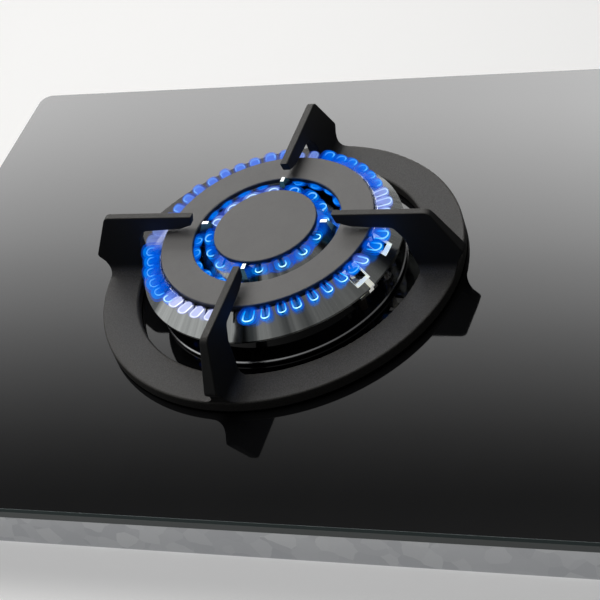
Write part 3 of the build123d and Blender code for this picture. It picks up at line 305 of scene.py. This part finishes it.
def mattEnamel():
    # edge is the painted shade of the cap rims and undersides
    enamel = {"colour": (0.139, 0.137, 0.135), "dark": (0.110, 0.109, 0.108), "edge": (0.014, 0.015, 0.018),
              "grain": 2600, "cloud": 60, "turning": 900, "rough": 0.52, "gloss": 0.4, "depth": 0.00003,
              "innerReach": 0.035, "innerEdge": 0.0915, "ringEdge": 0.0885, "edgeBlend": 0.0002}
    paint = Finish("matt_enamel")
    place = paint.place()
    grain = paint.noise(place, enamel["grain"], 2, 0.6)
    cloud = paint.noise(place, enamel["cloud"], 3)
    out, z = fromBurner(paint)
    reach = paint.length(out)
    turning = paint.noise(paint.vector(reach, 0.0, z), enamel["turning"], 1)
    inner = reach < enamel["innerReach"]  # the inner cap stands higher than the ring cap
    top = z - inner * (enamel["innerEdge"] - enamel["ringEdge"])
    face = top.smooth(enamel["ringEdge"] - enamel["edgeBlend"], enamel["ringEdge"] + enamel["edgeBlend"])
    tone = paint.blend((grain * 0.7 + cloud * 0.4).smooth(0.35, 0.8), enamel["colour"], enamel["dark"])
    return paint.surface(
        Base_Color=paint.blend(face, enamel["edge"], tone),  # the rims and undersides are painted near-black as painted shade
        Roughness=grain * 0.12 + enamel["rough"], Specular_IOR_Level=enamel["gloss"],
        Normal=paint.bump(grain + turning * 0.3, enamel["depth"], 0.6))


def castIron():
    iron = {"colour": (0.072, 0.070, 0.067), "dark": (0.037, 0.036, 0.034), "arm": (0.024, 0.0245, 0.025),
            "grain": 1500, "lump": 260, "rough": 0.45, "gloss": 0.22, "depth": 0.00008,
            "armFoot": (0.0598, 0.0655), "level": (0.7, 0.95)}
    paint = Finish("cast_iron")
    place = paint.place()
    grain = paint.noise(place, iron["grain"], 3, 0.65)
    lump = paint.noise(place, iron["lump"], 2)
    height = paint.parts(place)[2]
    # painted shade: above the ring all but the level faces is painted near-black, the unlit sides of the arms
    arm = height.smooth(*iron["armFoot"]) * (1 - paint.up().smooth(*iron["level"]))
    tone = paint.blend(grain.smooth(0.35, 0.65), iron["dark"], iron["colour"])
    return paint.surface(
        Base_Color=paint.blend(arm, tone, iron["arm"]),
        Roughness=grain * 0.2 + arm * 0.2 + iron["rough"], Specular_IOR_Level=iron["gloss"],
        Normal=paint.bump(grain + lump * 0.6, iron["depth"], 0.7))


def turnedAluminium():
    # dark and light are the ends of the painted reflection's range on the skirt
    metal = {"dark": (0.035, 0.045, 0.05), "light": (0.86, 0.89, 0.87),
             "streaks": 17, "waver": 0.004, "rings": 2200, "rough": 0.12, "depth": 0.000012,
             "landReach": (0.0600, 0.0663), "landLow": 0.0856, "landPaintedShade": 0.9,
             # bridge is the teal-blue of the painted flame light on the bridges' sides
             "bridge": (0.08, 0.33, 0.52), "bridgeHalf": 0.0056, "bridgeReach": (0.0325, 0.0480),
             "bridgeLow": 0.0803, "bridgeTop": 0.8, "bridgeFlameLight": 0.85,
             # cast and its glow paint the pockets pale and glowing as painted light
             "cast": (0.93, 0.90, 0.52), "pocketPaintedGlow": 0.4, "pocketHalf": 0.0053,
             "pocketReach": (0.0668, 0.0765), "notch": (0.0003, 0.0038)}
    # painted reflection: the light and dark bands that the turned cone mirrors, painted into its colour; the
    # angle where a band begins, and its painted level
    paintedReflectionBands = [(-180, 0.95), (-176, 0.95), (-175, 0.08), (-169, 0.12), (-168, 0.95), (-160, 0.65), (-155, 0.22),
             (-151, 0.80), (-146.5, 0.28), (-142, 0.80), (-112, 1.0), (-104, 0.30), (-92, 0.8), (-70, 1.0),
             (-50, 0.6), (0, 0.4), (60, 0.6), (104, 0.75), (116, 0.14), (134, 0.14), (136, 0.70), (180, 0.78)]
    paint = Finish("brushed_aluminium")
    out, z = fromBurner(paint)
    reach = paint.length(out)
    spoke = paint.vectorMath("NORMALIZE", {0: out})
    x, y = paint.parts(spoke)[:2]
    streak = paint.noise(spoke, metal["streaks"], 2, 0.6)
    ring = paint.noise(paint.vector(reach, z, 0.0), metal["rings"], 2)
    turn = paint.math("ARCTAN2", y, x) / math.tau + 0.5
    level = paint.ramp([(angle / 360 + 0.5, value) for angle, value in paintedReflectionBands],
                       turn + (streak - 0.5) * metal["waver"])
    # painted reflection: the bands and the radial streaks over them set how light the metal's colour is; in
    # the roughness the streaks are grain
    tone = level * (streak.smooth(0.3, 0.7) * 0.3 + 0.75)

    # the lands between the slots are rougher, and their colour is darkened as painted shade
    land = reach.within(*metal["landReach"]) * (z > metal["landLow"])
    turned = paint.blend(tone * (1 - land * metal["landPaintedShade"]), metal["dark"], metal["light"])

    # painted light: the sides of the four bridges are tinted teal-blue as painted flame light
    across = paint.math("MINIMUM", abs(x), abs(y)) * reach
    bridge = (across < metal["bridgeHalf"]) * reach.within(*metal["bridgeReach"]) * (z > metal["bridgeLow"])
    bridge = bridge * (paint.up() < metal["bridgeTop"])
    withBridgeFlameLight = paint.blend(bridge * metal["bridgeFlameLight"], turned, metal["bridge"])

    def strip(angle, low, high):  # 1 between two distances aside of the spoke at this angle
        cosine = math.cos(math.radians(angle))
        sine = math.sin(math.radians(angle))
        aside = (y * cosine - x * sine) * reach
        return (x * cosine + y * sine > 0.0) * aside.within(low, high)

    # the cast walls of the two pockets are rough, and painted pale with a glow as painted light; the first's
    # painted highlight runs out over the skirt's edge
    first, second = burner["pockets"]
    half = metal["pocketHalf"]
    low, high = metal["pocketReach"]
    pockets = (strip(first, -half, half) + strip(second, -half, half)) * reach.within(low, high)
    cast = (pockets + strip(first, *metal["notch"]) * (reach > high)).clamped()
    return paint.surface(
        Base_Color=paint.blend(cast, withBridgeFlameLight, metal["cast"]),
        Emission_Color=paint.blend(cast, (0, 0, 0), (1, 1, 1)), Emission_Strength=metal["pocketPaintedGlow"],
        Metallic=1 - cast, Roughness=ring * 0.10 + streak * 0.05 + (land + cast) * 0.3 + metal["rough"],
        Normal=paint.bump(ring, metal["depth"], 0.5))


def blackEnamel():
    enamel = {"colour": (0.010, 0.010, 0.011), "dark": (0.006, 0.006, 0.007), "rimHighlight": (0.80, 0.81, 0.82),
              "peel": 420, "rough": 0.05, "bareRough": 0.15, "depth": 0.00001, "rimReach": 0.0754,
              "rimLow": 0.0536}
    paint = Finish("black_enamel")
    peel = paint.noise(paint.place(), enamel["peel"], 2)
    out, z = fromBurner(paint)
    rimHighlight = (paint.length(out) > enamel["rimReach"]) * (z > enamel["rimLow"])  # the base's outer rim is made silver metal as a painted highlight line on the black enamel
    coat = paint.blend(peel, enamel["dark"], enamel["colour"])
    return paint.surface(
        Base_Color=paint.blend(rimHighlight, coat, enamel["rimHighlight"]), Metallic=rimHighlight,
        Roughness=peel * 0.06 + rimHighlight * enamel["bareRough"] + enamel["rough"],
        Normal=paint.bump(peel, enamel["depth"], 0.4))


def galvanised():
    zinc = {"light": (0.62, 0.63, 0.64), "dark": (0.42, 0.43, 0.45), "spangle": 95, "ripple": 60,
            "bend": 0.006, "fine": 1500, "rough": 0.30, "depth": 0.00002}
    paint = Finish("galvanised_steel")
    place = paint.place()
    ripple = paint.node("TexNoise", None, {"Vector": place, "Scale": zinc["ripple"]}, "Color")
    shift = paint.vectorMath("SCALE", {0: ripple, "Scale": zinc["bend"]})
    bent = paint.vectorMath("ADD", {0: place, 1: shift})
    cell = paint.node("TexVoronoi", None, {"Vector": bent, "Scale": zinc["spangle"]}, "Color")
    tone = paint.parts(cell)[0]
    fine = paint.noise(place, zinc["fine"], 2)
    return paint.surface(
        Base_Color=paint.blend(tone * 0.8 + fine * 0.2, zinc["dark"], zinc["light"]), Metallic=1.0,
        Roughness=tone * 0.18 + fine * 0.08 + zinc["rough"],
        Normal=paint.bump(fine + tone * 0.4, zinc["depth"], 0.5))


def speckled(name, settings):  # cast, moulded and coated surfaces: a fine grain over a slow cloud
    paint = Finish(name)
    place = paint.place()
    grain = paint.noise(place, settings["grain"], 3, 0.6)
    cloud = paint.noise(place, settings["grain"] / 30, 2)
    tone = (grain * 0.6 + cloud * 0.4).smooth(0.3, 0.7)
    return paint.surface(
        Base_Color=paint.blend(tone, darker(settings["colour"], settings["spread"]), settings["colour"]),
        Metallic=settings.get("metal", 0.0), Roughness=grain * 0.15 + settings["rough"],
        Normal=paint.bump(grain, settings["depth"], 0.6), Specular_IOR_Level=settings.get("gloss", 0.5))


def brushed(name, settings):  # drawn, rolled and turned metal: fine lines along or round one axis
    paint = Finish(name)
    place = paint.place()
    line = paint.noise(paint.shifted(place, scale=settings["stretch"]), settings["grain"], 3, 0.7)
    cloud = paint.noise(place, 40, 2)
    tone = (line * 0.6 + cloud * 0.4).smooth(0.3, 0.7)
    return paint.surface(
        Base_Color=paint.blend(tone, darker(settings["colour"], settings["spread"]), settings["colour"]),
        Metallic=1.0, Roughness=line * 0.2 + settings["rough"],
        Normal=paint.bump(line, settings["depth"], 0.5))


speckledFinishes = {
    "die_cast_aluminium": {"colour": (0.55, 0.56, 0.57), "spread": 0.2, "rough": 0.38, "grain": 1400,
                           "depth": 6e-5, "metal": 1.0},
    "tap_aluminium": {"colour": (0.62, 0.62, 0.62), "spread": 0.2, "rough": 0.34, "grain": 1200,
                      "depth": 5e-5, "metal": 1.0},
    "seal_foam": {"colour": (0.022, 0.022, 0.023), "spread": 0.5, "rough": 0.8, "grain": 1600,
                  "depth": 2e-4, "gloss": 0.2},
    "silicone": {"colour": (0.075, 0.074, 0.072), "spread": 0.2, "rough": 0.45, "grain": 900,
                 "depth": 3e-5},
    # painted shade: the ceramic is given a dark colour as it stands in shade under the skirt
    "ceramic": {"colour": (0.055, 0.045, 0.040), "spread": 0.2, "rough": 0.14, "grain": 700,
                "depth": 1e-5},
    "black_plastic": {"colour": (0.020, 0.020, 0.021), "spread": 0.25, "rough": 0.34, "grain": 2400,
                      "depth": 3e-5},
    "white_plastic": {"colour": (0.72, 0.71, 0.68), "spread": 0.06, "rough": 0.36, "grain": 1500,
                      "depth": 2e-5},
    "lead_rubber": {"colour": (0.055, 0.055, 0.057), "spread": 0.2, "rough": 0.5, "grain": 1100,
                    "depth": 3e-5},
}
brushedFinishes = {
    "screw_steel": {"colour": (0.62, 0.61, 0.58), "spread": 0.25, "rough": 0.22, "grain": 900, "depth": 2e-5,
                    "stretch": (1, 1, 0.2)},
    "probe_steel": {"colour": (0.55, 0.54, 0.53), "spread": 0.3, "rough": 0.18, "grain": 1200, "depth": 1e-5,
                    "stretch": (1, 1, 0.1)},
    "bonnet_steel": {"colour": (0.50, 0.51, 0.52), "spread": 0.2, "rough": 0.26, "grain": 900, "depth": 2e-5,
                     "stretch": (1, 0.1, 1)},
    "brass": {"colour": (0.70, 0.50, 0.20), "spread": 0.22, "rough": 0.18, "grain": 800, "depth": 2e-5,
              "stretch": (0.3, 0.3, 4)},
    "tube_aluminium": {"colour": (0.66, 0.67, 0.69), "spread": 0.2, "rough": 0.22, "grain": 700,
                       "depth": 2e-5, "stretch": (1, 0.15, 1)},
    "copper_lead": {"colour": (0.72, 0.36, 0.20), "spread": 0.3, "rough": 0.22, "grain": 900, "depth": 1e-5,
                    "stretch": (0.3, 1, 1)},
}

materials = {"black_glass": blackGlass(), "matt_enamel": mattEnamel(), "cast_iron": castIron(),
             "brushed_aluminium": turnedAluminium(), "galvanised_steel": galvanised(),
             "black_enamel": blackEnamel()}
for name, settings in speckledFinishes.items():
    materials[name] = speckled(name, settings)
for name, settings in brushedFinishes.items():
    materials[name] = brushed(name, settings)
for node in nodes.values():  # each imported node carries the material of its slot
    slotName = node.data.materials[0].name.split(".")[0]
    node.data.materials[0] = materials[slotName]
print("finishes assigned")


def startPiece(add, **settings):
    bpy.ops.object.select_all(action="DESELECT")
    add(**settings)
    return bpy.context.object


def editAll():
    bpy.ops.object.mode_set(mode="EDIT")
    bpy.ops.mesh.select_all(action="SELECT")


def endEdit():
    bpy.ops.object.mode_set(mode="OBJECT")


def faceOut():  # all faces
    editAll()
    bpy.ops.mesh.normals_make_consistent(inside=False)
    endEdit()


def applyPlace():  # place, turn and size go into the mesh
    bpy.ops.object.transform_apply(location=True, rotation=True, scale=True)


def applyModifier(piece, kind, **settings):
    modifier = piece.modifiers.new(kind.lower(), kind)
    for name, value in settings.items():
        setattr(modifier, name, value)
    bpy.ops.object.modifier_apply(modifier=modifier.name)


def finishPiece(piece, name, material, body):
    piece.name = piece.data.name = name
    faceOut()
    applyPlace()
    piece.data.materials.clear()
    piece.data.materials.append(material)
    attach(piece, body)


def buildPointer():  # white filling of the slot in the knob's top
    fill = {"width": 0.00138, "from": -0.0159, "to": -0.0071, "depth": 0.00045, "sunk": 0.00012,
            "bevel": 0.00009}
    middle = (fill["to"] + fill["from"]) / 2
    piece = startPiece(bpy.ops.mesh.primitive_cube_add, size=1, location=(
        knob["centre"].x, knob["centre"].y + middle, knob["top"] - fill["sunk"] - fill["depth"] / 2))
    piece.scale = (fill["width"], fill["to"] - fill["from"], fill["depth"])
    bpy.ops.object.transform_apply(location=False, rotation=False, scale=True)
    editAll()
    bpy.ops.mesh.bevel(offset=fill["bevel"], segments=2)
    endEdit()
    finishPiece(piece, "knob_pointer", materials["white_plastic"], "knob")


# a dot in front of the knob and, on each side, a band that thins away from it;
# degrees round the knob from its front, where the pointer is at rest
knobMarks = {
    "mark_off": {"from": -2.5, "to": 2.5, "widths": (0.0026, 0.0026)},
    "mark_both_rings": {"from": 25, "to": 120, "widths": (0.0034, 0.0008)},
    "mark_inner_ring": {"from": -90, "to": -25, "widths": (0.0006, 0.0018)},
}
markPrint = {"radius": 0.0305, "points": 144, "slack": 0.1, "thickness": 0.00004, "gap": 0.000005}
printMaterial = speckled("printed_grey", {"colour": (0.52, 0.52, 0.51), "spread": 0.12, "rough": 0.5,
                                          "grain": 2600, "depth": 4e-6})


def angleOf(vertex):  # degrees round the knob, from its front
    return math.degrees(math.atan2(vertex.co.x, -vertex.co.y))


def buildMark(name, mark):  # a band printed on the glass round the knob
    radius, slack = markPrint["radius"], markPrint["slack"]
    piece = startPiece(bpy.ops.mesh.primitive_circle_add, vertices=markPrint["points"], radius=radius)
    bpy.ops.object.mode_set(mode="EDIT")
    bpy.ops.mesh.select_all(action="DESELECT")
    endEdit()
    for vertex in piece.data.vertices:
        vertex.select = not mark["from"] - slack <= angleOf(vertex) <= mark["to"] + slack
    bpy.ops.object.mode_set(mode="EDIT")
    bpy.ops.mesh.delete(type="VERT")
    bpy.ops.mesh.select_all(action="SELECT")
    bpy.ops.mesh.extrude_region_move()
    endEdit()
    first, last = mark["widths"]
    for vertex in piece.data.vertices:  # the extruded points are selected and become the outer edge
        share = (angleOf(vertex) - mark["from"]) / (mark["to"] - mark["from"])
        width = first + (last - first) * share
        vertex.co *= 1 + width / radius * (0.5 if vertex.select else -0.5)
    applyModifier(piece, "SOLIDIFY", thickness=markPrint["thickness"], offset=1)
    lift = markPrint["gap"] - min(vertex.co.z for vertex in piece.data.vertices)
    piece.location = knob["centre"] + Vector((0, 0, lift))
    finishPiece(piece, name, printMaterial, "root")


def buildThread():  # the pipe thread on the gas inlet
    thread = {"x": 0.130, "z": 0.022, "radius": 0.01036, "size": 0.00042, "pitch": 0.001814, "turns": 6,
              "steps": 36, "end": 0.0008}
    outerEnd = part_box("inlet_elbow")[1].y
    piece = startPiece(bpy.ops.mesh.primitive_circle_add, vertices=3, radius=thread["size"],
                       location=(thread["radius"], 0, 0), rotation=(math.pi / 2, 0, 0))
    applyPlace()
    applyModifier(piece, "SCREW", axis="Z", angle=math.tau, screw_offset=thread["pitch"],
                  iterations=thread["turns"], steps=thread["steps"], render_steps=thread["steps"],
                  use_merge_vertices=True)
    editAll()
    bpy.ops.mesh.fill_holes(sides=0)
    endEdit()
    piece.rotation_euler = (math.pi / 2, 0, 0)
    piece.location = (thread["x"], outerEnd - thread["end"], thread["z"])
    finishPiece(piece, "inlet_thread", materials["brass"], "root")


def buildLedges():  # the ledge at the outer end of each pocket, which the aluminium finish paints pale and glowing as painted light
    ledge = {"from": 0.0726, "to": 0.0766, "half": 0.0052, "top": 0.0775, "thickness": 0.0008,
             "bevel": 0.0002}
    for number, angle in enumerate(burner["pockets"], 1):
        piece = startPiece(bpy.ops.mesh.primitive_plane_add, size=1)
        piece.scale = (ledge["to"] - ledge["from"], ledge["half"] * 2, 1)
        piece.location = ((ledge["from"] + ledge["to"]) / 2, 0, ledge["top"])
        applyPlace()
        applyModifier(piece, "SOLIDIFY", thickness=ledge["thickness"], offset=-1)
        applyModifier(piece, "BEVEL", width=ledge["bevel"], segments=2)
        piece.rotation_euler = (0, 0, math.radians(angle))
        piece.location = (burner["centre"].x, burner["centre"].y, 0)
        finishPiece(piece, f"pocket_ledge_{number}", materials["brushed_aluminium"], "flame_crown")


buildPointer()
for name, mark in knobMarks.items():
    buildMark(name, mark)
buildThread()
buildLedges()
print("knob marks, thread and ledges made")


steadyFlame = {
    "pale": 0.0,  # how far it is painted violet-white: partly the flame's own paler colour, partly painted glare of the bright skirt behind it
    "clear": 1.0,  # how bright its line is
    "fill": 0.0,  # 1 hides the port behind it
    "arc": 0.0,  # 1 leaves only the outer end of the line
    "faint": 0.0,  # how far it fades away
    "size": 1.0,
    "width": 1.0,
    "swell": 1.0,  # extra width and length of the glow round the line
    "reach": 1.0,
    "aside": 0.0,  # steps towards the next port
    "flat": 1.0,  # how high it stands
}
flameTags = ("pale", "clear", "fill", "arc", "faint")  # what the material reads of each flame
sway = 6  # how many degrees a flame turns aside for a wobble of 1

# sizes are in millimetres from the burner's centre, start and step in degrees;
# burns gives the first port, the last port and what differs from steadyFlame
outerFlame = {
    "ports": 46, "start": -171, "step": 360 / 46, "seed": 5, "wobble": 0.08,
    "unlit": (11, 45),  # behind two arms
    "path": [(65.6, 33.4), (67.2, 33.7), (69.5, 34.0), (72.0, 34.2), (74.2, 34.4), (75.7, 34.5), (76.5, 34.6),
             (76.8, 34.6)],
    "halfWidth": [2.5, 2.8, 3.0, 3.1, 2.9, 2.3, 1.4, 0.3],
    "loop": {"reach": 73.6, "height": 34.5, "radius": 2.35, "thick": 0.34, "legs": 7.4, "close": 0.88,
             "rise": 2, "turn": 0},
    "burns": [
        (0, 0, {"fill": 0.6, "size": 0.95, "width": 1.25, "swell": 1.25}),
        (1, 6, {"size": 0.86, "width": 0.95}),
        (7, 7, {"clear": 0.45, "fill": 1, "arc": 0.8, "size": 0.8, "width": 1.3, "swell": 1.15}),
        (8, 8, {"pale": 0.2, "clear": 0.9, "fill": 0.7, "size": 0.9, "aside": -0.2}),
        (9, 10, {"clear": 0.7, "fill": 0.9, "arc": 0.3, "width": 1.25, "swell": 1.15}),
        (12, 14, {"pale": 0.55, "clear": 0.6, "fill": 0.8, "size": 0.86, "width": 1.15, "faint": 0.15}),
        (15, 20, {"clear": 0.45, "fill": 1, "arc": 0.75, "size": 0.8, "width": 1.15, "swell": 1.2}),
        (21, 22, {"pale": 0.4, "clear": 0.1, "fill": 1, "size": 0.66, "faint": 0.35}),
        (23, 32, {"pale": 0.2, "clear": 0.3, "fill": 1, "arc": 0.6, "size": 0.8, "width": 1.12}),
        (33, 34, {"pale": 0.4, "clear": 0.05, "fill": 0.6, "size": 1.1, "width": 1.5, "faint": 0.5}),
        (35, 39, {"clear": 0.42, "fill": 0.8, "arc": 0.7, "size": 0.9, "width": 1.4, "swell": 1.1,
                  "reach": 1.25}),
        (40, 40, {"pale": 0.3, "clear": 0.8, "fill": 0.6, "arc": 0.7, "size": 0.85, "width": 1.2}),
        # at these ports pale is painted glare of the bright skirt seen through the flames
        (41, 44, {"pale": 1.0, "fill": 1, "size": 0.80, "width": 1.2, "aside": -0.5, "flat": 0.3}),
    ],
}
ringFlame = {  # from the ring's inward ports
    "ports": 24, "start": 7.5, "step": 15, "seed": 6, "wobble": 0.14,
    "unlit": (0, 5),
    "path": [(50.0, 32.2), (48.6, 32.5), (46.8, 33.0), (45.0, 33.7), (43.6, 34.3), (42.8, 34.7),
             (42.5, 34.9)],
    "halfWidth": [1.2, 2.1, 2.6, 2.6, 2.0, 1.2, 0.3],
    "loop": {"reach": 44.8, "height": 33.9, "radius": 1.9, "thick": 0.24, "legs": 4.5, "close": 0.85,
             "rise": 16, "turn": 180},
    "burns": [
        (1, 4, {"clear": 0.0, "fill": 1, "size": 0.85, "width": 1.6, "flat": 0.6}),
        (6, 11, {"clear": 0.35, "fill": 0.8, "arc": 0.7, "size": 1.1, "width": 1.25, "swell": 1.6,
                 "flat": 0.6}),
        (12, 17, {"clear": 0.0, "fill": 1, "size": 0.5, "width": 0.9, "flat": 0.6}),
        (18, 23, {"clear": 0.2, "fill": 1, "arc": 0.8, "size": 0.9, "width": 1.5, "swell": 1.4, "flat": 0.6}),
    ],
}
hubFlame = {  # from the hub's outward ports
    "ports": 16, "start": 11.25, "step": 22.5, "seed": 7, "wobble": 0.10,
    "unlit": (),
    "path": [(31.0, 36.2), (32.4, 36.2), (34.2, 36.1), (36.0, 36.0), (37.3, 35.9), (38.1, 35.9),
             (38.4, 35.9)],
    "halfWidth": [2.0, 2.8, 3.1, 3.1, 2.5, 1.6, 0.3],
    "loop": {"reach": 35.7, "height": 36.3, "radius": 2.3, "thick": 0.34, "legs": 4.4, "close": 1.15,
             "rise": 0, "turn": 0},
    "burns": [
        (0, 3, {"pale": 0.4, "clear": 0.9, "fill": 0.7, "arc": 0.5, "width": 1.3, "swell": 1.9,
                "faint": 0.15}),
        (4, 7, {"clear": 0.8, "fill": 0.9, "arc": 0.6, "width": 1.25, "swell": 1.5}),
        (8, 11, {"arc": 0.45, "size": 0.95, "swell": 2.2}),
        (12, 15, {"clear": 0.8, "fill": 0.9, "arc": 0.6, "size": 0.95, "width": 1.2, "swell": 1.5}),
    ],
}
# the line, the blue cone and the glow round it: tip is the colour of a clear flame's outer end and soft that
# of another's, fade, side and edge are shares of length or width, and glow says how far swell and reach act
flameLayers = {
    "loop": {"base": (0.0, 0.34, 1.0), "tip": (0.45, 0.88, 1.0), "soft": (0.02, 0.40, 0.95),
             "pale": (0.86, 0.90, 1.0), "strength": 2.1, "alpha": 0.85, "paleAlpha": 0.1, "fillAlpha": 0.0,
             "arcFrom": 0.62, "fade": (1.5, 2), "side": (0, 0.1), "middle": 1.0, "edge": (0, 1),
             "soften": 0.0, "clear": 1.0, "glow": 0.0},
    "body": {"base": (0.0, 0.115, 0.72), "tip": (0.0, 0.29, 0.96), "soft": (0.0, 0.22, 0.94),
             "pale": (0.56, 0.61, 0.86), "strength": 1.15, "alpha": 0.40, "paleAlpha": 0.22,
             "fillAlpha": 0.20, "arcFrom": 0.0, "fade": (0.8, 1.25), "side": (0.22, 0.5), "middle": 0.02,
             "edge": (0.45, 1), "soften": 0.75, "clear": 0.0, "glow": 0.6, "thickness": 1.0},
    "mantle": {"base": (0.0, 0.08, 0.80), "tip": (0.0, 0.14, 0.92), "soft": (0.0, 0.125, 0.87),
               "pale": (0.22, 0.26, 1.0), "strength": 0.95, "alpha": 0.24, "paleAlpha": -0.20,
               "fillAlpha": 0.10, "arcFrom": 0.0, "fade": (0.85, 1.05), "side": (0.15, 0.5), "middle": 0.1,
               "edge": (0.4, 1), "soften": 0.8, "clear": 0.0, "glow": 1.0, "thickness": 1.35},
}


def flameSurface(name, layer):
    shape = {"root": 0.2, "paleRoot": 0.05,  # share of its length over which a flame appears
             "closes": (0.45, 0.8), "closed": 0.5,  # where its hollow middle closes, and how far
             "tipFrom": 0.3, "lights": 2.5}  # how much more it lights what is near than what sees it
    paint = Finish(name)
    along, across, pale, clear, fill, arc, faint = [
        paint.node("Attribute", {"attribute_name": value}, output="Fac")
        for value in ("along", "across", *flameTags)]
    root = shape["root"] - pale * (shape["root"] - shape["paleRoot"])
    rooted = ((along - arc * layer["arcFrom"]) / root).clamped()
    fade = 1 - along.smooth(*layer["fade"])
    middle = along.smooth(*shape["closes"]) * (shape["closed"] - layer["middle"]) + layer["middle"]
    middle = paint.math("MAXIMUM", middle, fill)
    ease = across.smooth(*layer["side"])
    side = ease + (1 - ease) * middle  # the port shows through the middle of its flame
    side = side * (1 - fill * across.smooth(*layer["edge"]) * layer["soften"])
    shown = (clear * layer["clear"] + (1 - layer["clear"])) * (1 - faint)
    tip = paint.blend(clear, layer["soft"], layer["tip"])
    tone = paint.blend(along.smooth(shape["tipFrom"], 1.0), layer["base"], tip)
    # pale paints the flame violet-white, in part as painted glare of the bright skirt behind it
    tone = paint.blend(pale, tone, layer["pale"])
    level = paint.ray("Diffuse") * (shape["lights"] - 1.0) + 1.0
    glow = paint.vectorMath("SCALE", {0: tone, "Scale": level})
    dense = pale * layer["paleAlpha"] + fill * layer["fillAlpha"] + layer["alpha"]
    return paint.surface(
        Base_Color=(0, 0, 0), Specular_IOR_Level=0.0, Roughness=1.0,
        Emission_Color=glow, Emission_Strength=layer["strength"],
        Alpha=dense * rooted * fade * side * shown)


def tag(piece, name, values):  # one number for each of the piece's points
    piece.data.attributes.new(name, "FLOAT", "POINT").data.foreach_set("value", values)


def flameTongue(flame, thickness):  # a rounded tongue, drawn out ring by ring from its port
    points = [Vector((reach / 1000, 0, height / 1000)) for reach, height in flame["path"]]
    widths = [width / 1000 * thickness for width in flame["halfWidth"]]
    tongue = startPiece(bpy.ops.mesh.primitive_circle_add, vertices=10, radius=widths[0], fill_type="NGON")
    facing = (points[1] - points[0]).normalized().to_track_quat("Z", "Y").to_matrix().to_4x4()
    tongue.data.transform(Matrix.Translation(points[0]) @ facing)
    editAll()
    for i in range(1, len(points)):
        bpy.ops.mesh.extrude_region_move(TRANSFORM_OT_translate={"value": points[i] - points[i - 1]})
        grow = widths[i] / widths[i - 1]
        bpy.ops.transform.resize(value=(grow, grow, grow), center_override=points[i])
    faceOut()
    axis = points[-1] - points[0]
    vertices = tongue.data.vertices
    tag(tongue, "along", [(vertex.co - points[0]).dot(axis) / axis.length_squared for vertex in vertices])
    tag(tongue, "across", [abs(vertex.co.y) / max(widths) for vertex in vertices])
    return tongue


def flameLoop(flame):  # the bright line round the blue cone: half a ring with two legs
    loop = flame["loop"]
    radius, thick, legs = loop["radius"] / 1000, loop["thick"] / 1000, loop["legs"] / 1000
    line = startPiece(bpy.ops.mesh.primitive_torus_add, major_segments=20, minor_segments=6,
                      major_radius=radius, minor_radius=thick)
    editAll()
    bpy.ops.mesh.bisect(plane_co=(0, 0, 0), plane_no=(1, 0, 0), clear_inner=True)
    for _ in range(2):
        bpy.ops.mesh.extrude_region_move(TRANSFORM_OT_translate={"value": (-legs / 2, 0, 0)})
    bpy.ops.transform.resize(value=(1, loop["close"], 1))  # the legs draw together at the port
    bpy.ops.mesh.select_all(action="SELECT")
    bpy.ops.mesh.fill_holes(sides=0)
    faceOut()
    vertices = line.data.vertices
    tag(line, "along", [(vertex.co.x + legs) / (legs + radius + thick) for vertex in vertices])
    tag(line, "across", [1.0] * len(vertices))
    place = Matrix.Translation((loop["reach"] / 1000, 0, loop["height"] / 1000))
    turn = Matrix.Rotation(math.radians(loop["turn"]), 4, "Z")
    line.data.transform(place @ turn @ Matrix.Rotation(math.radians(-loop["rise"]), 4, "Y"))
    return line


def burning(flame, port):  # how the flame of one port burns
    for first, last, changes in flame["burns"]:
        if first <= port <= last:
            return {**steadyFlame, **changes}


def spread(pattern, name, flame, layerName):  # copies one flame to every lit port and joins them
    draw = random.Random(flame["seed"])
    copies = []
    pivot = Vector((flame["path"][0][0] / 1000, 0, flame["path"][0][1] / 1000))
    glow = flameLayers[layerName]["glow"]
    bpy.ops.object.select_all(action="DESELECT")
    for port in range(flame["ports"]):
        size, wide, tilt = [1 + draw.uniform(-flame["wobble"], flame["wobble"]) for _ in range(3)]
        if port in flame["unlit"]:
            continue
        burn = burning(flame, port)
        turn = flame["start"] + (port + burn["aside"]) * flame["step"] + (tilt - 1) * sway
        size *= burn["size"] * (1 + (burn["reach"] - 1) * glow)
        wide *= burn["width"] * (1 + (burn["swell"] - 1) * glow)
        copy = pattern.copy()
        copy.data = pattern.data.copy()
        scene.collection.objects.link(copy)
        place = Matrix.Translation(burner["centre"]) @ Matrix.Rotation(math.radians(turn), 4, "Z")
        place = place @ Matrix.Translation(pivot) @ Matrix.Diagonal((size, wide, size * burn["flat"], 1))
        copy.data.transform(place @ Matrix.Translation(-pivot))
        for value in flameTags:
            tag(copy, value, [burn[value]] * len(copy.data.vertices))
        copy.select_set(True)
        copies.append(copy)
    bpy.data.objects.remove(pattern)
    bpy.context.view_layer.objects.active = copies[0]
    bpy.ops.object.join()
    joined = bpy.context.object
    joined.name = joined.data.name = name
    bpy.ops.object.shade_smooth()
    joined.data.materials.clear()
    joined.data.materials.append(flameMaterials[layerName])
    joined.visible_glossy = layerName != "loop"  # the metal shows the glow and not the thin line
    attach(joined, "flame_crown")


flameMaterials = {name: flameSurface("flame_" + name, layer) for name, layer in flameLayers.items()}
flameRings = {"outer_flames": outerFlame, "ring_flames": ringFlame, "hub_flames": hubFlame}
for name, flame in flameRings.items():
    spread(flameLoop(flame), name, flame, "loop")
    for layerName in ("body", "mantle"):
        tongue = flameTongue(flame, flameLayers[layerName]["thickness"])
        spread(tongue, f"{name}_{layerName}", flame, layerName)
print("flames lit")
